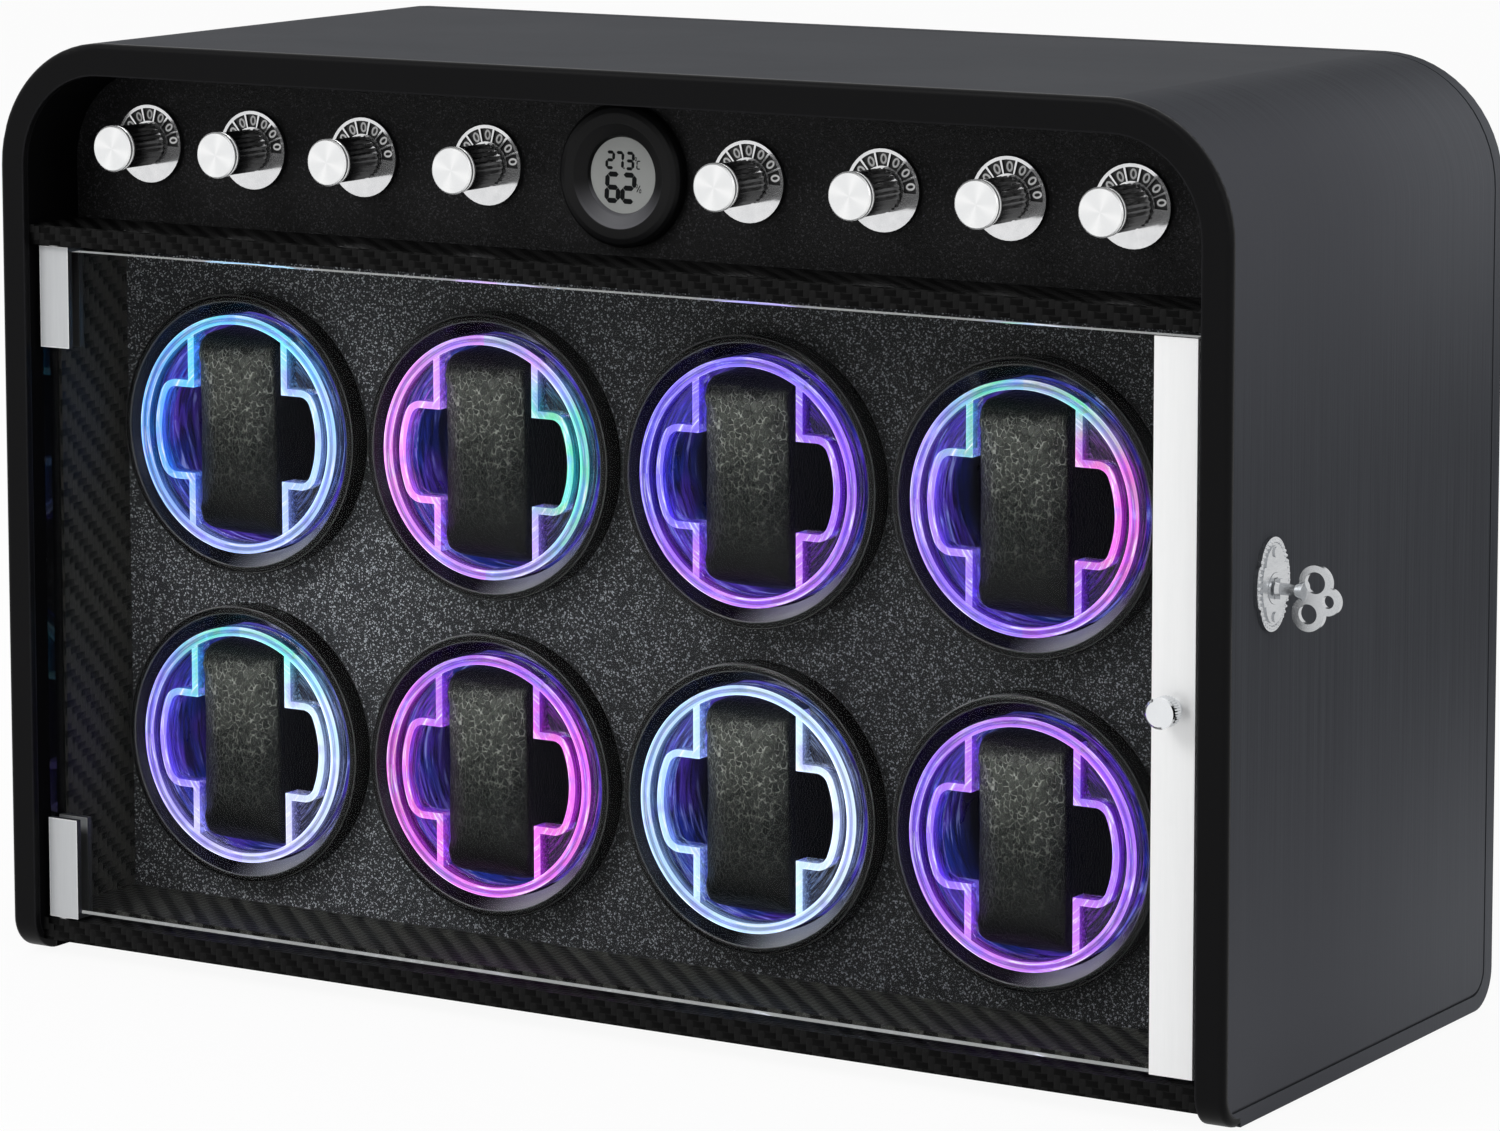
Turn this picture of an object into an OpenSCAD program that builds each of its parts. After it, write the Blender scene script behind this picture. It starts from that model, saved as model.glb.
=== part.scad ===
// Watch winder cabinet: an arched box with a glass door, eight lit rotors and eight speed knobs.
// X to the right, Y towards the back, Z up, in millimetres. The origin is the centre of the
// footprint, on the surface that the four feet stand on. Everything is drawn at rest: the door
// shut, the rotors and knobs at their zero, the lock open and the key in it.

/* [Cabinet] */
// Width over the side walls
body_w = 480; // [460:1:560]
// Depth from the front frame to the rear edge
body_d = 200; // [190:1:260]
// Height of the cabinet from its underside to its top
body_h = 323.5; // [318:0.5:380]
// Gap between the underside and the table, which the feet make
foot_gap = 1.5; // [0.5:0.5:6]
// Outer radius of the two top corners
arch_r = 44; // [36:1:60]
// Thickness of each side wall
side_t = 10.2; // [9:0.1:12]
// Thickness of the top wall
top_t = 11.2; // [9:0.1:14]
// Radius of the lower front corners, seen from the side
toe_r = 12; // [8:1:18]
// Radius of the lower rear corners, seen from the side
heel_r = 13; // [9:1:18]
// Width of the black groove where the outer skin ends
groove_w = 1; // [0.6:0.1:2]
// Depth of the front frame, from front to back
bezel_t = 3; // [2.5:0.1:5]
// Rounding of the front frame's outer edge
bezel_edge_r = 2; // [1:0.1:2.4]

/* [Boards] */
// Height of the base board's underside above the cabinet's underside
base_lift = 4.3; // [3:0.1:8]
// Thickness of the base board
base_t = 7.9; // [7:0.1:12]
// Height of the control bay, from the divider's underside to the ceiling
panel_h = 60.3; // [57:0.1:66]
// Thickness of the divider shelf above the bay
divider_t = 6.9; // [5.5:0.1:10]
// Distance from the front to the control panel's face
fascia_in = 30.5; // [29:0.5:40]
// Thickness of the control panel
fascia_t = 4; // [3:0.5:6]
// Distance from the front to the rotor panel's face
panel_in = 57.1; // [56:0.1:64]
// Thickness of the rotor panel
panel_t = 6; // [4:0.5:9]
// Thickness of the carbon lining on the bay's sides
lining_t = 1.2; // [0.8:0.1:2]
// Thickness of the carbon lining on the bay's floor
floor_t = 1.9; // [1:0.1:2.3]
// Thickness of the rear panel
back_t = 4; // [3:0.5:6]
// Width of the ledge that the rear panel sits on
ledge_w = 5; // [4:0.5:6]
// Diameter of each rubber foot
foot_d = 18; // [12:1:30]

/* [Door] */
// Thickness of the glass
glass_t = 4.5; // [4:0.1:6]
// Distance from the front to the glass's face
glass_in = 7.7; // [6.8:0.1:8.4]
// Width of each chrome hinge clamp
clamp_w = 12.4; // [10:0.2:16]
// Height of each chrome hinge clamp
clamp_h = 35.5; // [24:0.5:60]
// Thickness of the clamp and strip plates
plate_t = 2.2; // [1.6:0.1:2.6]
// Diameter of the door's pivot pins
pivot_d = 4; // [3:0.2:4.6]
// Width of the chrome handle strip
strip_w = 15.3; // [12:0.1:22]
// Diameter of the knurled door knob
pull_d = 10; // [8:0.5:14]
// Length of the knurled door knob
pull_len = 10.5; // [8:0.5:16]
// Height of the door knob above the middle of the glass
pull_up = 0.5; // [-90:0.1:90]

/* [Rotors] */
// Gap between the rings of a row, as it shares the bay's width with the gaps at the ends
rotor_gap_x = 5.5; // [2.4:0.1:10.4]
// Gap between the rings of a column, as it shares the bay's height with the gaps at the ends
rotor_gap_z = 11.4; // [2.4:0.1:16.4]
// Mean gap beside a row of rings
rotor_edge_x = 21.15; // [18.2:0.05:24.2]
// Mean gap above and below a column of rings
rotor_edge_z = 14.6; // [11.6:0.1:18.6]
// Sideways shift of the rotor group from the bay's middle
rotor_shift_x = -16.4; // [-18:0.2:0]
// Upward shift of the rotor group from the bay's middle
rotor_shift_z = -4.2; // [-8:0.1:2]
// Outer diameter of each black ring
ring_d = 99.6; // [96:0.2:101]
// Height of each ring above the rotor panel
ring_proud = 9; // [7:0.2:11]
// Diameter of the clear light ring
lens_d = 84.4; // [80:0.2:86]
// Rounding of the outer corners of the light ring's side windows
window_corner = 4.5; // [2:0.1:7]
// Half width of the slot between the light ring's upright ribs
slot_half = 19; // [17.5:0.1:21]
// Thickness of the light ring's ribs
rib_t = 2.4; // [1.6:0.1:3.5]
// Depth of each rotor cup behind the light ring
cup_depth = 38; // [32:0.5:42]
// Wall thickness of each rotor cup
cup_wall = 1.8; // [1.2:0.1:2.6]
// Diameter of the stub axle on each cup
axle_d = 6; // [5:0.2:8]
// Width of each watch cushion
cushion_w = 35.2; // [28:0.2:37]
// Length of each watch cushion
cushion_len = 75.6; // [66:0.2:76]
// Distance of each cushion's face behind its ring's face
cushion_in = 1.6; // [0.8:0.1:6]

/* [Controls] */
// Diameter of each chrome dial plate
dial_d = 27.2; // [25:0.2:32]
// Thickness of each dial plate
dial_t = 2; // [1.6:0.1:3]
// Depth of the printed cells below the dial's face
cell_in = 0.8; // [0.3:0.1:1.2]
// Number of printed cells round the top of a dial
cell_count = 7; // [5:1:9]
// Distance of the innermost dials from the middle of their row
dial_x1 = 51.5; // [46:0.5:56]
// Distance between the first and the second dial, as it shares the row with the next two
dial_gap_1 = 51; // [44:0.5:56]
// Distance between the second and the third dial
dial_gap_2 = 46.5; // [40:0.5:52]
// Distance between the third and the outermost dial
dial_gap_3 = 44.5; // [38:0.5:50]
// Distance of the outermost dials in from the cabinet's sides
dial_edge = 46.5; // [42:0.5:52]
// Sideways shift of the row of dials from the middle
dial_shift = -3; // [-6:0.1:6]
// Distance of the dials' centres below the cabinet's top
dial_drop = 36.9; // [35:0.1:41]
// Diameter of each speed knob's face
knob_d = 16; // [15.2:0.2:20]
// Length of each speed knob
knob_len = 20; // [15:0.5:22]
// Ribs round the grip of each speed knob
knob_ribs = 24; // [16:1:36]
// Diameter of each knob's shaft
shaft_d = 6; // [4:0.2:6.4]
// Outer diameter of the hygrometer's flange
meter_d = 48.2; // [42:0.2:50]
// Height of the hygrometer's flange above the control panel
meter_proud = 5.5; // [4:0.1:9]
// Diameter of the hygrometer's round window
window_d = 25.6; // [22:0.2:28]

/* [Lock] */
// Distance from the front to the lock's axis
lock_in = 28.2; // [28:0.1:34]
// Height of the lock's axis above the cabinet's middle
lock_up = 7.75; // [-72:0.25:66]
// Width of the oval lock plate
plate_w = 22.7; // [18:0.1:26]
// Height of the oval lock plate
plate_h = 30; // [27:0.1:36]
// Diameter of the lock's turning plug
plug_d = 10; // [9:0.2:11]
// Reach of the lock's cam from its axis
cam_reach = 12.8; // [11.5:0.1:13.6]
// Height of the key's bow
bow_h = 21.2; // [16:0.2:26]

/* [Power] */
// Distance of the power jack in from the cabinet's side
jack_side = 90; // [60:1:200]
// Depth of the power jack below the cabinet's top
jack_drop = 39.5; // [28:0.5:51]
// Outer diameter of the power jack's threaded barrel
jack_d = 11; // [9:0.5:12]

/* [Hidden] */
$fn = 96;
eps = 0.01;
y_front = -body_d / 2;
y_back = body_d / 2;
z_under = foot_gap;
z_top = z_under + body_h;
half_w = body_w / 2;
in_x = half_w - side_t;
in_z = z_top - top_t;
in_r = arch_r - top_t;
arch_x = half_w - arch_r;
arch_z = z_top - arch_r;
board_gap = 0.1;

fine_fn = 48;
bead_root = 1;
through = 20;

groove_deep = 1;
groove_back = 6;
groove_up = 5.3;
groove_start = 6;

base_z = z_under + base_lift;
base_top = base_z + base_t;
base_front = y_front + 4.8;
bay_top = in_z - panel_h;
divider_top = bay_top + divider_t;
divider_front = y_front + 3;
floor_in = 19;
floor_front = y_front + floor_in;
back_recess = 2.5;
ledge_y = y_back - back_recess - back_t;
back_z = base_z + 1.7;
fascia_y = y_front + fascia_in;
panel_y = y_front + panel_in;

glass_y = y_front + glass_in;
glass_back = glass_y + glass_t;
glass_x1 = -in_x + 1.6;
glass_z1 = base_top + 2.4;
glass_z2 = bay_top - 2.4;
clamp_x1 = -in_x + 2.4;
clamp_z1 = base_top + 0.5;
clamp_z2 = bay_top - 0.7;
pivot_x = clamp_x1 + 5.4;
pivot_y = glass_y + 1;
pivot_len = 5.5;
pin_play = 0.05;
strip_x2 = in_x - 3.7;
strip_x1 = strip_x2 - strip_w;
strip_web = 1.5;
strip_y = glass_y - plate_t;
pull_x = strip_x1 + strip_w / 2;
pull_z = (glass_z1 + glass_z2) / 2 + pull_up;
knurl_count = 30;

rotor_cols = 4;
rotor_rows = 2;
ring_r = ring_d / 2;
ring_y = panel_y - ring_proud;
lens_r = lens_d / 2;
lens_deep = 8;
lens_play = 0.8;
sleeve_r = lens_r + lens_play;
sleeve_t = 2;
bevel_r = sleeve_r + 3.4;
bevel_deep = 6.4;
housing_back = ring_y + lens_deep + cup_depth + 3.4;
housing_t = 2.5;
cup_r = lens_r - 0.4;
cup_y = ring_y + lens_deep;
cup_floor_y = cup_y + cup_depth;
axle_r = axle_d / 2;
axle_play = 0.05;
gear_r = 18;
gear_len = 18;
gear_y = housing_back + housing_t;
can_r = 12;
can_len = 26;
axle_len = housing_back - cup_floor_y + housing_t + gear_len - 4;
rim_in_r = lens_r - 3.2;
window_r = lens_r - 8.7;
window_half = 15.3;
window_corner_z = window_half - window_corner;
window_corner_x = sqrt(pow(window_r - window_corner, 2) - pow(window_corner_z, 2));
rib_deep = 5.6;
pocket_floor = 1.4;
cushion_y = ring_y + cushion_in;
cushion_t = lens_deep + cup_depth - cup_wall - cushion_in - 0.3;
board_r = 40;
board_t = 1.6;
led_count = 12;
// Room between the walls and between the boards, and its share per unit of gap.
rotor_room_x = 2 * (in_x - lining_t);
rotor_room_z = bay_top - base_top;
fit_x = (rotor_room_x - rotor_cols * ring_d) / ((rotor_cols - 1) * rotor_gap_x + 2 * rotor_edge_x);
fit_z = (rotor_room_z - rotor_rows * ring_d) / ((rotor_rows - 1) * rotor_gap_z + 2 * rotor_edge_z);
rotor_step_x = ring_d + rotor_gap_x * fit_x;
rotor_step_z = ring_d + rotor_gap_z * fit_z;
rotor_off_x = rotor_shift_x * fit_x;
rotor_off_z = rotor_shift_z * fit_z;
rotor_mid_z = base_top + rotor_room_z / 2 + rotor_off_z;
rotor_xs = [for (i = [0:rotor_cols - 1]) rotor_off_x + (i - (rotor_cols - 1) / 2) * rotor_step_x];
rotor_zs = [for (j = [0:rotor_rows - 1]) rotor_mid_z - (j - (rotor_rows - 1) / 2) * rotor_step_z];
rotor_at = [for (z = rotor_zs, x = rotor_xs) [x, z]];

dial_z = z_top - dial_drop;
dial_fit = (half_w - dial_edge - dial_x1) / (dial_gap_1 + dial_gap_2 + dial_gap_3);
dial_x2 = dial_x1 + dial_gap_1 * dial_fit;
dial_x3 = dial_x2 + dial_gap_2 * dial_fit;
dial_x4 = half_w - dial_edge;
dial_half = [dial_x1, dial_x2, dial_x3, dial_x4];
dial_xs = [for (k = [3:-1:0]) dial_shift - dial_half[k], for (x = dial_half) dial_shift + x];
dial_y = fascia_y - dial_t;
dial_r = dial_d / 2;
cell_r1 = dial_r - 5.6;
cell_r2 = dial_r - 1.1;
cell_step = 27;
cell_bar = 3.4;
shaft_r = shaft_d / 2;
bush_play = 0.05;
bush_r = shaft_r + 0.6;
bush_front = 4.5;
pot_r = 8.5;
pot_len = 8;
nut_r = bush_r + 1.9;
nut_t = 1.8;
knob_gap = 1.2;
knob_y = dial_y - knob_gap - knob_len;
cap_len = 3.2;
grip_r = knob_d / 2 - 0.6;
skirt_r = nut_r + 0.5;
skirt_deep = 7;

meter_up = -0.5;
meter_z = dial_z + meter_up;
meter_r = meter_d / 2;
meter_y = fascia_y - meter_proud;
window_in = 3.6;
can_meter_r = 19.4;
meter_back = 14;

pcb_w = 150;
pcb_d = 44;
pcb_t = 1.6;
pcb_x = 0;
pcb_in = 43.5;
pcb_y = fascia_y + fascia_t + pcb_in;
standoff_h = 6;
standoff_r = 3;
standoff_in = 6;
socket_pitch = 17;
socket_w = 10;
socket_d = 6;
socket_h = 7;
chip_w = 18;
chip_d = 8;
chip_h = 2.2;

lock_y = y_front + lock_in;
lock_z = z_under + body_h / 2 + lock_up;
plug_r = plug_d / 2;
plug_play = 0.08;
barrel_r = plug_r + 2.2;
flange_r = barrel_r + 1;
flange_t = 1;
plate_low = 1.6;
plate_step = 0.6;
nail_off = plate_h / 2 - 4.7;
plate_up = 1.2;
plate_z = lock_z + plate_up;
bead_count = 40;
plug_face = half_w + plate_low + plate_step + 0.2;
nut_af = 2 * barrel_r + 4;
barrel_nut_t = 4;
nut_room = 2.2;
cam_t = 2.4;
cam_w = 8;
barrel_end = in_x - 8;
cam_x = barrel_end - 0.4 - cam_t;
strike_w = 4.6;
strike_x = cam_x - 2;
strike_drop = cam_reach + 1;
key_slide = 24;
blade_t = 2;
blade_h = 6.4;
blade_len = 17;
slot_play = 0.15;
bow_x = half_w + 16;
bow_t = 2;
collar_in = 6.4;
collar_len = 3;

foot_in_x = 26;
foot_in_y = 34;

screw_r = 1.5;
screw_head_r = 2.7;
screw_head_t = 1.6;
screw_len = 12;

jack_z = z_top - jack_drop;
jack_at = jack_side - half_w;
jack_r = jack_d / 2;

// Extrudes a shape drawn in X and Z from one Y to another.
module along_y(a, b) {
    translate([0, b, 0])
    rotate([90, 0, 0])
    linear_extrude(b - a)
    children();
}

// Extrudes a shape drawn in Y and Z from one X to another.
module along_x(a, b) {
    translate([a, 0, 0])
    rotate([90, 0, 90])
    linear_extrude(b - a)
    children();
}

// Turns a profile, drawn as radius and height, round an axis that points to +Y.
module turned_y(x, y, z) {
    translate([x, y, z])
    rotate([-90, 0, 0])
    rotate_extrude()
    children();
}

// A cylinder along +Y that starts at y.
module rod_y(x, y, z, r, len) {
    translate([x, y, z])
    rotate([-90, 0, 0])
    cylinder(r = r, h = len);
}

// A cylinder along +X that starts at x.
module rod_x(x, y, z, r, len) {
    translate([x, y, z])
    rotate([0, 90, 0])
    cylinder(r = r, h = len);
}

// A box from its low corner to its high corner.
module box_to(a, b) {
    translate(a)
    cube(b - a);
}

// The arch seen from the front: upright sides and two rounded top corners.
module arch2d(half, bottom, top, r) {
    translate([-half, bottom])
    square([2 * half, top - r - bottom]);
    translate([r - half, bottom])
    square([2 * (half - r), top - bottom]);
    for (s = [-1, 1])
        translate([s * (half - r), top - r])
        intersection() {
            circle(r);
            translate([-r, 0])
            square([2 * r, r]);
        }
}

// The cabinet seen from the side: a block with its two lower corners rounded. The front one may sit
// higher by a step, which the front frame's toe fills.
module side2d(front, back, bottom, top, r_front, r_back, step = 0) {
    corner = bottom + r_front + step;
    translate([front, corner])
    square([back - r_back - front, top - corner]);
    translate([front + r_front, bottom])
    square([back - r_back - front - r_front, top - bottom]);
    translate([front + r_front, bottom + r_back])
    square([back - front - r_front, top - bottom - r_back]);
    translate([front + r_front, corner])
    circle(r_front);
    translate([back - r_back, bottom + r_back])
    circle(r_back);
}

// The thin line of the groove as it runs along a side wall.
module groove2d() {
    x_out = y_back - groove_back;
    z_out = z_under + groove_up;
    r_out = heel_r - groove_up + 1;
    difference() {
        side2d(y_front + groove_start, x_out, z_out, z_top + top_t, groove_w, r_out);
        side2d(y_front - groove_w, x_out - groove_w, z_out + groove_w, z_top + top_t + 1,
            groove_w, r_out - groove_w);
    }
}

module cabinet_shell() {
    toe = toe_r - bezel_t;
    color("#33353a")
    difference() {
        intersection() {
            along_y(y_front + bezel_t, y_back)
            difference() {
                arch2d(half_w, z_under, z_top, arch_r);
                arch2d(in_x, z_under - 1, in_z, in_r);
            }
            along_x(-half_w - 1, half_w + 1)
            side2d(y_front + bezel_t, y_back, z_under, z_top + 1, toe, heel_r, bezel_t);
        }
        along_y(ledge_y, y_back + 1)
        arch2d(in_x + ledge_w, back_z - board_gap, in_z + ledge_w, in_r + ledge_w);
        along_y(y_back - groove_back - groove_w, y_back - groove_back)
        difference() {
            translate([-half_w - 1, arch_z])
            square([body_w + 2, arch_r + 1]);
            arch2d(half_w - groove_deep, z_under, z_top - groove_deep, arch_r - groove_deep);
        }
        for (s = [-1, 1])
            along_x(s * half_w - groove_deep, s * half_w + groove_deep)
            intersection() {
                groove2d();
                translate([y_front, z_under - 1])
                square([body_d + 1, arch_z - z_under + 1]);
            }
        rod_x(in_x - 1, lock_y, lock_z, barrel_r + 0.2, side_t + 2);
        rod_x(half_w - flange_t, lock_y, lock_z, flange_r + 0.1, flange_t + 1);
        for (s = [-1, 1])
            rod_x(half_w - 6, lock_y, plate_z + s * nail_off, 0.75, 7);
        for (p = back_screw_at)
            rod_y(p[0], ledge_y - screw_len, p[1], screw_r, screw_len + 1);
    }
}

// A leg of the front frame with its toe, seen from the side, and thinner at the front by an inset.
module leg2d(inset) {
    translate([y_front + inset, z_under + toe_r])
    square([bezel_t - inset, arch_z - z_under - toe_r]);
    intersection() {
        translate([y_front + toe_r, z_under + toe_r])
        difference() {
            circle(toe_r - inset);
            circle(toe_r - bezel_t);
        }
        translate([y_front, z_under])
        square([toe_r, toe_r]);
    }
}

// The front frame above the corner line, set in from its outer edge.
module cap2d(inset) {
    difference() {
        intersection() {
            arch2d(half_w - inset, z_under, z_top - inset, arch_r - inset);
            translate([-half_w, arch_z - bead_root])
            square([body_w, arch_r + bead_root]);
        }
        arch2d(in_x, z_under - 1, in_z, in_r);
    }
}

// The frame's rounded outer edge, with a root on both sides that lies inside the frame.
module bead2d() {
    root = 0.8 * bezel_edge_r;
    intersection() {
        circle(bezel_edge_r, $fn = fine_fn);
        square(bezel_edge_r);
    }
    translate([-bead_root, -bead_root])
    square([bead_root + root, bead_root]);
    translate([-bead_root, -bead_root])
    square([bead_root, bead_root + root]);
}

// One leg of the front frame: two plates seen from the side and the bead round their outer edge.
module bezel_leg() {
    r = bezel_edge_r;
    along_x(in_x, half_w - r)
    leg2d(0);
    along_x(in_x, half_w)
    leg2d(r);
    translate([half_w - r, y_front + r, z_under + toe_r])
    linear_extrude(arch_z - z_under - toe_r)
    mirror([0, 1])
    bead2d();
    translate([0, y_front + toe_r, z_under + toe_r])
    rotate([0, 90, 0])
    rotate_extrude(angle = 90, start = 270)
    translate([toe_r - r, half_w - r])
    bead2d();
}

module front_bezel() {
    r = bezel_edge_r;
    color("#17171a") {
        bezel_leg();
        mirror([1, 0, 0])
        bezel_leg();
        along_y(y_front, y_front + bezel_t)
        cap2d(r);
        along_y(y_front + r, y_front + bezel_t)
        cap2d(0);
        translate([-arch_x, y_front + r, z_top - r])
        rotate([90, 0, 90])
        linear_extrude(2 * arch_x)
        mirror([1, 0])
        bead2d();
        for (s = [0, 1])
            mirror([s, 0, 0])
            translate([arch_x, y_front + r, arch_z])
            rotate([90, 0, 0])
            rotate_extrude(angle = 90)
            translate([arch_r - r, 0])
            bead2d();
    }
}

module base_board() {
    color("#1d1d1f")
    difference() {
        box_to([-in_x + board_gap, base_front, base_z], [in_x - board_gap, ledge_y - board_gap, base_top]);
        translate([pivot_x, pivot_y, base_top - pivot_len])
        cylinder(r = pivot_d / 2 + pin_play, h = pivot_len + 1);
        for (p = foot_at)
            translate([p[0], p[1], base_z - 1])
            cylinder(r = screw_r, h = 5);
    }
}

module divider_rail() {
    color("#1d1d1f")
    difference() {
        box_to([-in_x + board_gap, divider_front, bay_top],
            [in_x - board_gap, ledge_y - board_gap, divider_top]);
        translate([pivot_x, pivot_y, bay_top - 1])
        cylinder(r = pivot_d / 2 + pin_play, h = pivot_len + 1);
    }
}

module control_panel() {
    color("#222226")
    difference() {
        along_y(fascia_y, fascia_y + fascia_t)
        arch2d(in_x - board_gap, divider_top, in_z - board_gap, in_r - board_gap);
        for (x = dial_xs)
            rod_y(x, fascia_y - 1, dial_z, bush_r + 0.1, fascia_t + 2);
        rod_y(0, fascia_y - 1, meter_z, can_meter_r + 0.2, fascia_t + 2);
    }
}

module rotor_panel() {
    color("#26262b")
    difference() {
        box_to([-in_x + board_gap, panel_y, base_top], [in_x - board_gap, panel_y + panel_t, bay_top]);
        for (p = rotor_at)
            rod_y(p[0], panel_y - 1, p[1], sleeve_r + sleeve_t + board_gap, panel_t + 2);
    }
}

module bay_lining() {
    color("#1d1d1f")
    difference() {
        union() {
            box_to([-in_x + board_gap, floor_front, base_top],
                [in_x - board_gap, panel_y, base_top + floor_t]);
            for (s = [0, 1])
                mirror([s, 0, 0])
                box_to([in_x - lining_t, floor_front, base_top], [in_x - board_gap, panel_y, bay_top]);
        }
        rod_x(in_x - lining_t - 1, lock_y, lock_z, nut_af / 2 + nut_room, lining_t + 2);
    }
}

// The black ring and the housing behind it, as radius and distance from the front.
module housing2d() {
    depth = housing_back + housing_t - ring_y;
    polygon([
        [sleeve_r, bevel_deep],
        [bevel_r, 1.2],
        [bevel_r + 0.6, 0.2],
        [bevel_r + 1.4, 0],
        [ring_r - 1.6, 0],
        [ring_r - 0.5, 0.45],
        [ring_r, 1.5],
        [ring_r, ring_proud],
        [sleeve_r + sleeve_t, ring_proud],
        [sleeve_r + sleeve_t, depth],
        [axle_r + 1.5, depth],
        [axle_r + 1.5, depth - housing_t],
        [sleeve_r, depth - housing_t],
    ]);
}

module rotor_rings() {
    color("#101012")
    for (p = rotor_at)
        difference() {
            turned_y(p[0], ring_y, p[1])
            housing2d();
            for (a = [45, 225])
                rod_y(p[0] + (gear_r - 4) * cos(a), housing_back - 1, p[1] + (gear_r - 4) * sin(a),
                    screw_r, housing_t + 2);
        }
}

module back_panel() {
    color("#151517")
    difference() {
        along_y(ledge_y, ledge_y + back_t)
        arch2d(in_x + ledge_w - board_gap, back_z, in_z + ledge_w - board_gap, in_r + ledge_w - board_gap);
        for (p = back_screw_at)
            rod_y(p[0], ledge_y - 1, p[1], screw_r + 0.2, back_t + 2);
        rod_y(jack_at, ledge_y - 1, jack_z, jack_r + 0.1, back_t + 2);
    }
}

screw_x = in_x + 0.2;
screw_top = in_z + 0.2;
screw_low = 16;
screw_high = 8;
screw_step_z = (arch_z - back_z - screw_low - screw_high) / 2;
screw_step_x = arch_x - screw_low;
back_screw_at = concat(
    [for (s = [-1, 1], k = [0:2]) [s * screw_x, back_z + screw_low + k * screw_step_z]],
    [for (k = [-1:1]) [k * screw_step_x, screw_top]]
);

module back_screws() {
    color("#3a3b3f")
    for (p = back_screw_at)
        difference() {
            union() {
                rod_y(p[0], ledge_y + 1 - screw_len, p[1], screw_r - 0.05, screw_len - 1 + back_t);
                rod_y(p[0], ledge_y + back_t, p[1], screw_head_r, screw_head_t);
            }
            box_to([p[0] - 1.8, ledge_y + back_t + screw_head_t - 0.9, p[1] - 0.35],
                [p[0] + 1.8, y_back + 1, p[1] + 0.35]);
            box_to([p[0] - 0.35, ledge_y + back_t + screw_head_t - 0.9, p[1] - 1.8],
                [p[0] + 0.35, y_back + 1, p[1] + 1.8]);
        }
}

module gear_motors() {
    color("#9a9ca0")
    for (p = rotor_at) {
        difference() {
            rod_y(p[0], gear_y, p[1], gear_r, gear_len);
            rod_y(p[0], gear_y - 1, p[1], axle_r + axle_play, gear_len - 1);
        }
        rod_y(p[0], gear_y + gear_len, p[1], can_r, can_len);
        rod_y(p[0], gear_y + gear_len + can_len, p[1], 3, 2);
        for (a = [45, 225])
            rod_y(p[0] + (gear_r - 4) * cos(a), gear_y - housing_t, p[1] + (gear_r - 4) * sin(a),
                screw_r - 0.05, housing_t + eps);
    }
}

module light_boards() {
    color("#e8e8ea")
    for (p = rotor_at) {
        difference() {
            rod_y(p[0], housing_back - board_t, p[1], board_r, board_t);
            rod_y(p[0], housing_back - board_t - 1, p[1], gear_r, board_t + 2);
        }
        for (i = [0:led_count - 1]) {
            a = i * 360 / led_count;
            translate([p[0] + (board_r - 5) * cos(a), housing_back - board_t, p[1] + (board_r - 5) * sin(a)])
            rotate([90, 0, 0])
            cylinder(r = 1.8, h = 1);
        }
    }
}

module control_board() {
    z_low = divider_top + standoff_h;
    z_up = z_low + pcb_t;
    color("#1f5a37") {
        box_to([pcb_x - pcb_w / 2, pcb_y, z_low], [pcb_x + pcb_w / 2, pcb_y + pcb_d, z_up]);
        for (i = [-1, 1], y = [pcb_y + standoff_in, pcb_y + pcb_d - standoff_in])
            translate([pcb_x + i * (pcb_w / 2 - standoff_in), y, divider_top])
            cylinder(r = standoff_r, h = standoff_h);
        for (i = [-3.5:3.5])
            translate([pcb_x + i * socket_pitch - socket_w / 2, pcb_y + socket_d, z_up])
            cube([socket_w, socket_d, socket_h]);
        translate([pcb_x - chip_w / 2, pcb_y + pcb_d / 2, z_up])
        cube([chip_w, chip_d, chip_h]);
    }
}

module potentiometers() {
    color("#8d9094")
    for (x = dial_xs)
        difference() {
            union() {
                rod_y(x, fascia_y + fascia_t, dial_z, pot_r, pot_len);
                rod_y(x, dial_y - bush_front, dial_z, bush_r, dial_t + bush_front + fascia_t + 1);
                rod_y(x, dial_y - nut_t, dial_z, nut_r, nut_t);
            }
            rod_y(x, dial_y - bush_front - 1, dial_z, shaft_r + bush_play,
                bush_front + dial_t + fascia_t + pot_len - 1);
        }
}

module dial_plates() {
    color("#dfe1e4")
    for (x = dial_xs)
        difference() {
            rod_y(x, dial_y, dial_z, dial_r, dial_t);
            rod_y(x, dial_y - 1, dial_z, bush_r + 0.1, dial_t + 2);
            for (i = [0:cell_count - 1]) {
                a = (i - (cell_count - 1) / 2) * cell_step;
                translate([x, dial_y + cell_in, dial_z])
                rotate([90, 0, 0])
                rotate([0, 0, 90 - a - (cell_step - cell_bar) / 2])
                rotate_extrude(angle = cell_step - cell_bar)
                translate([cell_r1, 0])
                square([cell_r2 - cell_r1, cell_in + 1]);
            }
        }
}

module hygrometer_housing() {
    color("#131315")
    turned_y(0, meter_y, meter_z)
    polygon([
        [window_d / 2, window_in],
        [window_d / 2 + 0.6, 2.4],
        [window_d / 2 + 4, 0.5],
        [window_d / 2 + 4.8, 0],
        [meter_r - 3.2, 0],
        [meter_r - 1.5, 0.5],
        [meter_r - 0.4, 1.5],
        [meter_r, 2.8],
        [meter_r, meter_proud],
        [can_meter_r, meter_proud],
        [can_meter_r, meter_proud + fascia_t + meter_back],
        [0, meter_proud + fascia_t + meter_back],
        [0, meter_proud + fascia_t + meter_back - 2],
        [can_meter_r - 2, meter_proud + fascia_t + meter_back - 2],
        [can_meter_r - 2, window_in + 2.4],
        [window_d / 2, window_in + 2.4],
    ]);
}

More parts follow.
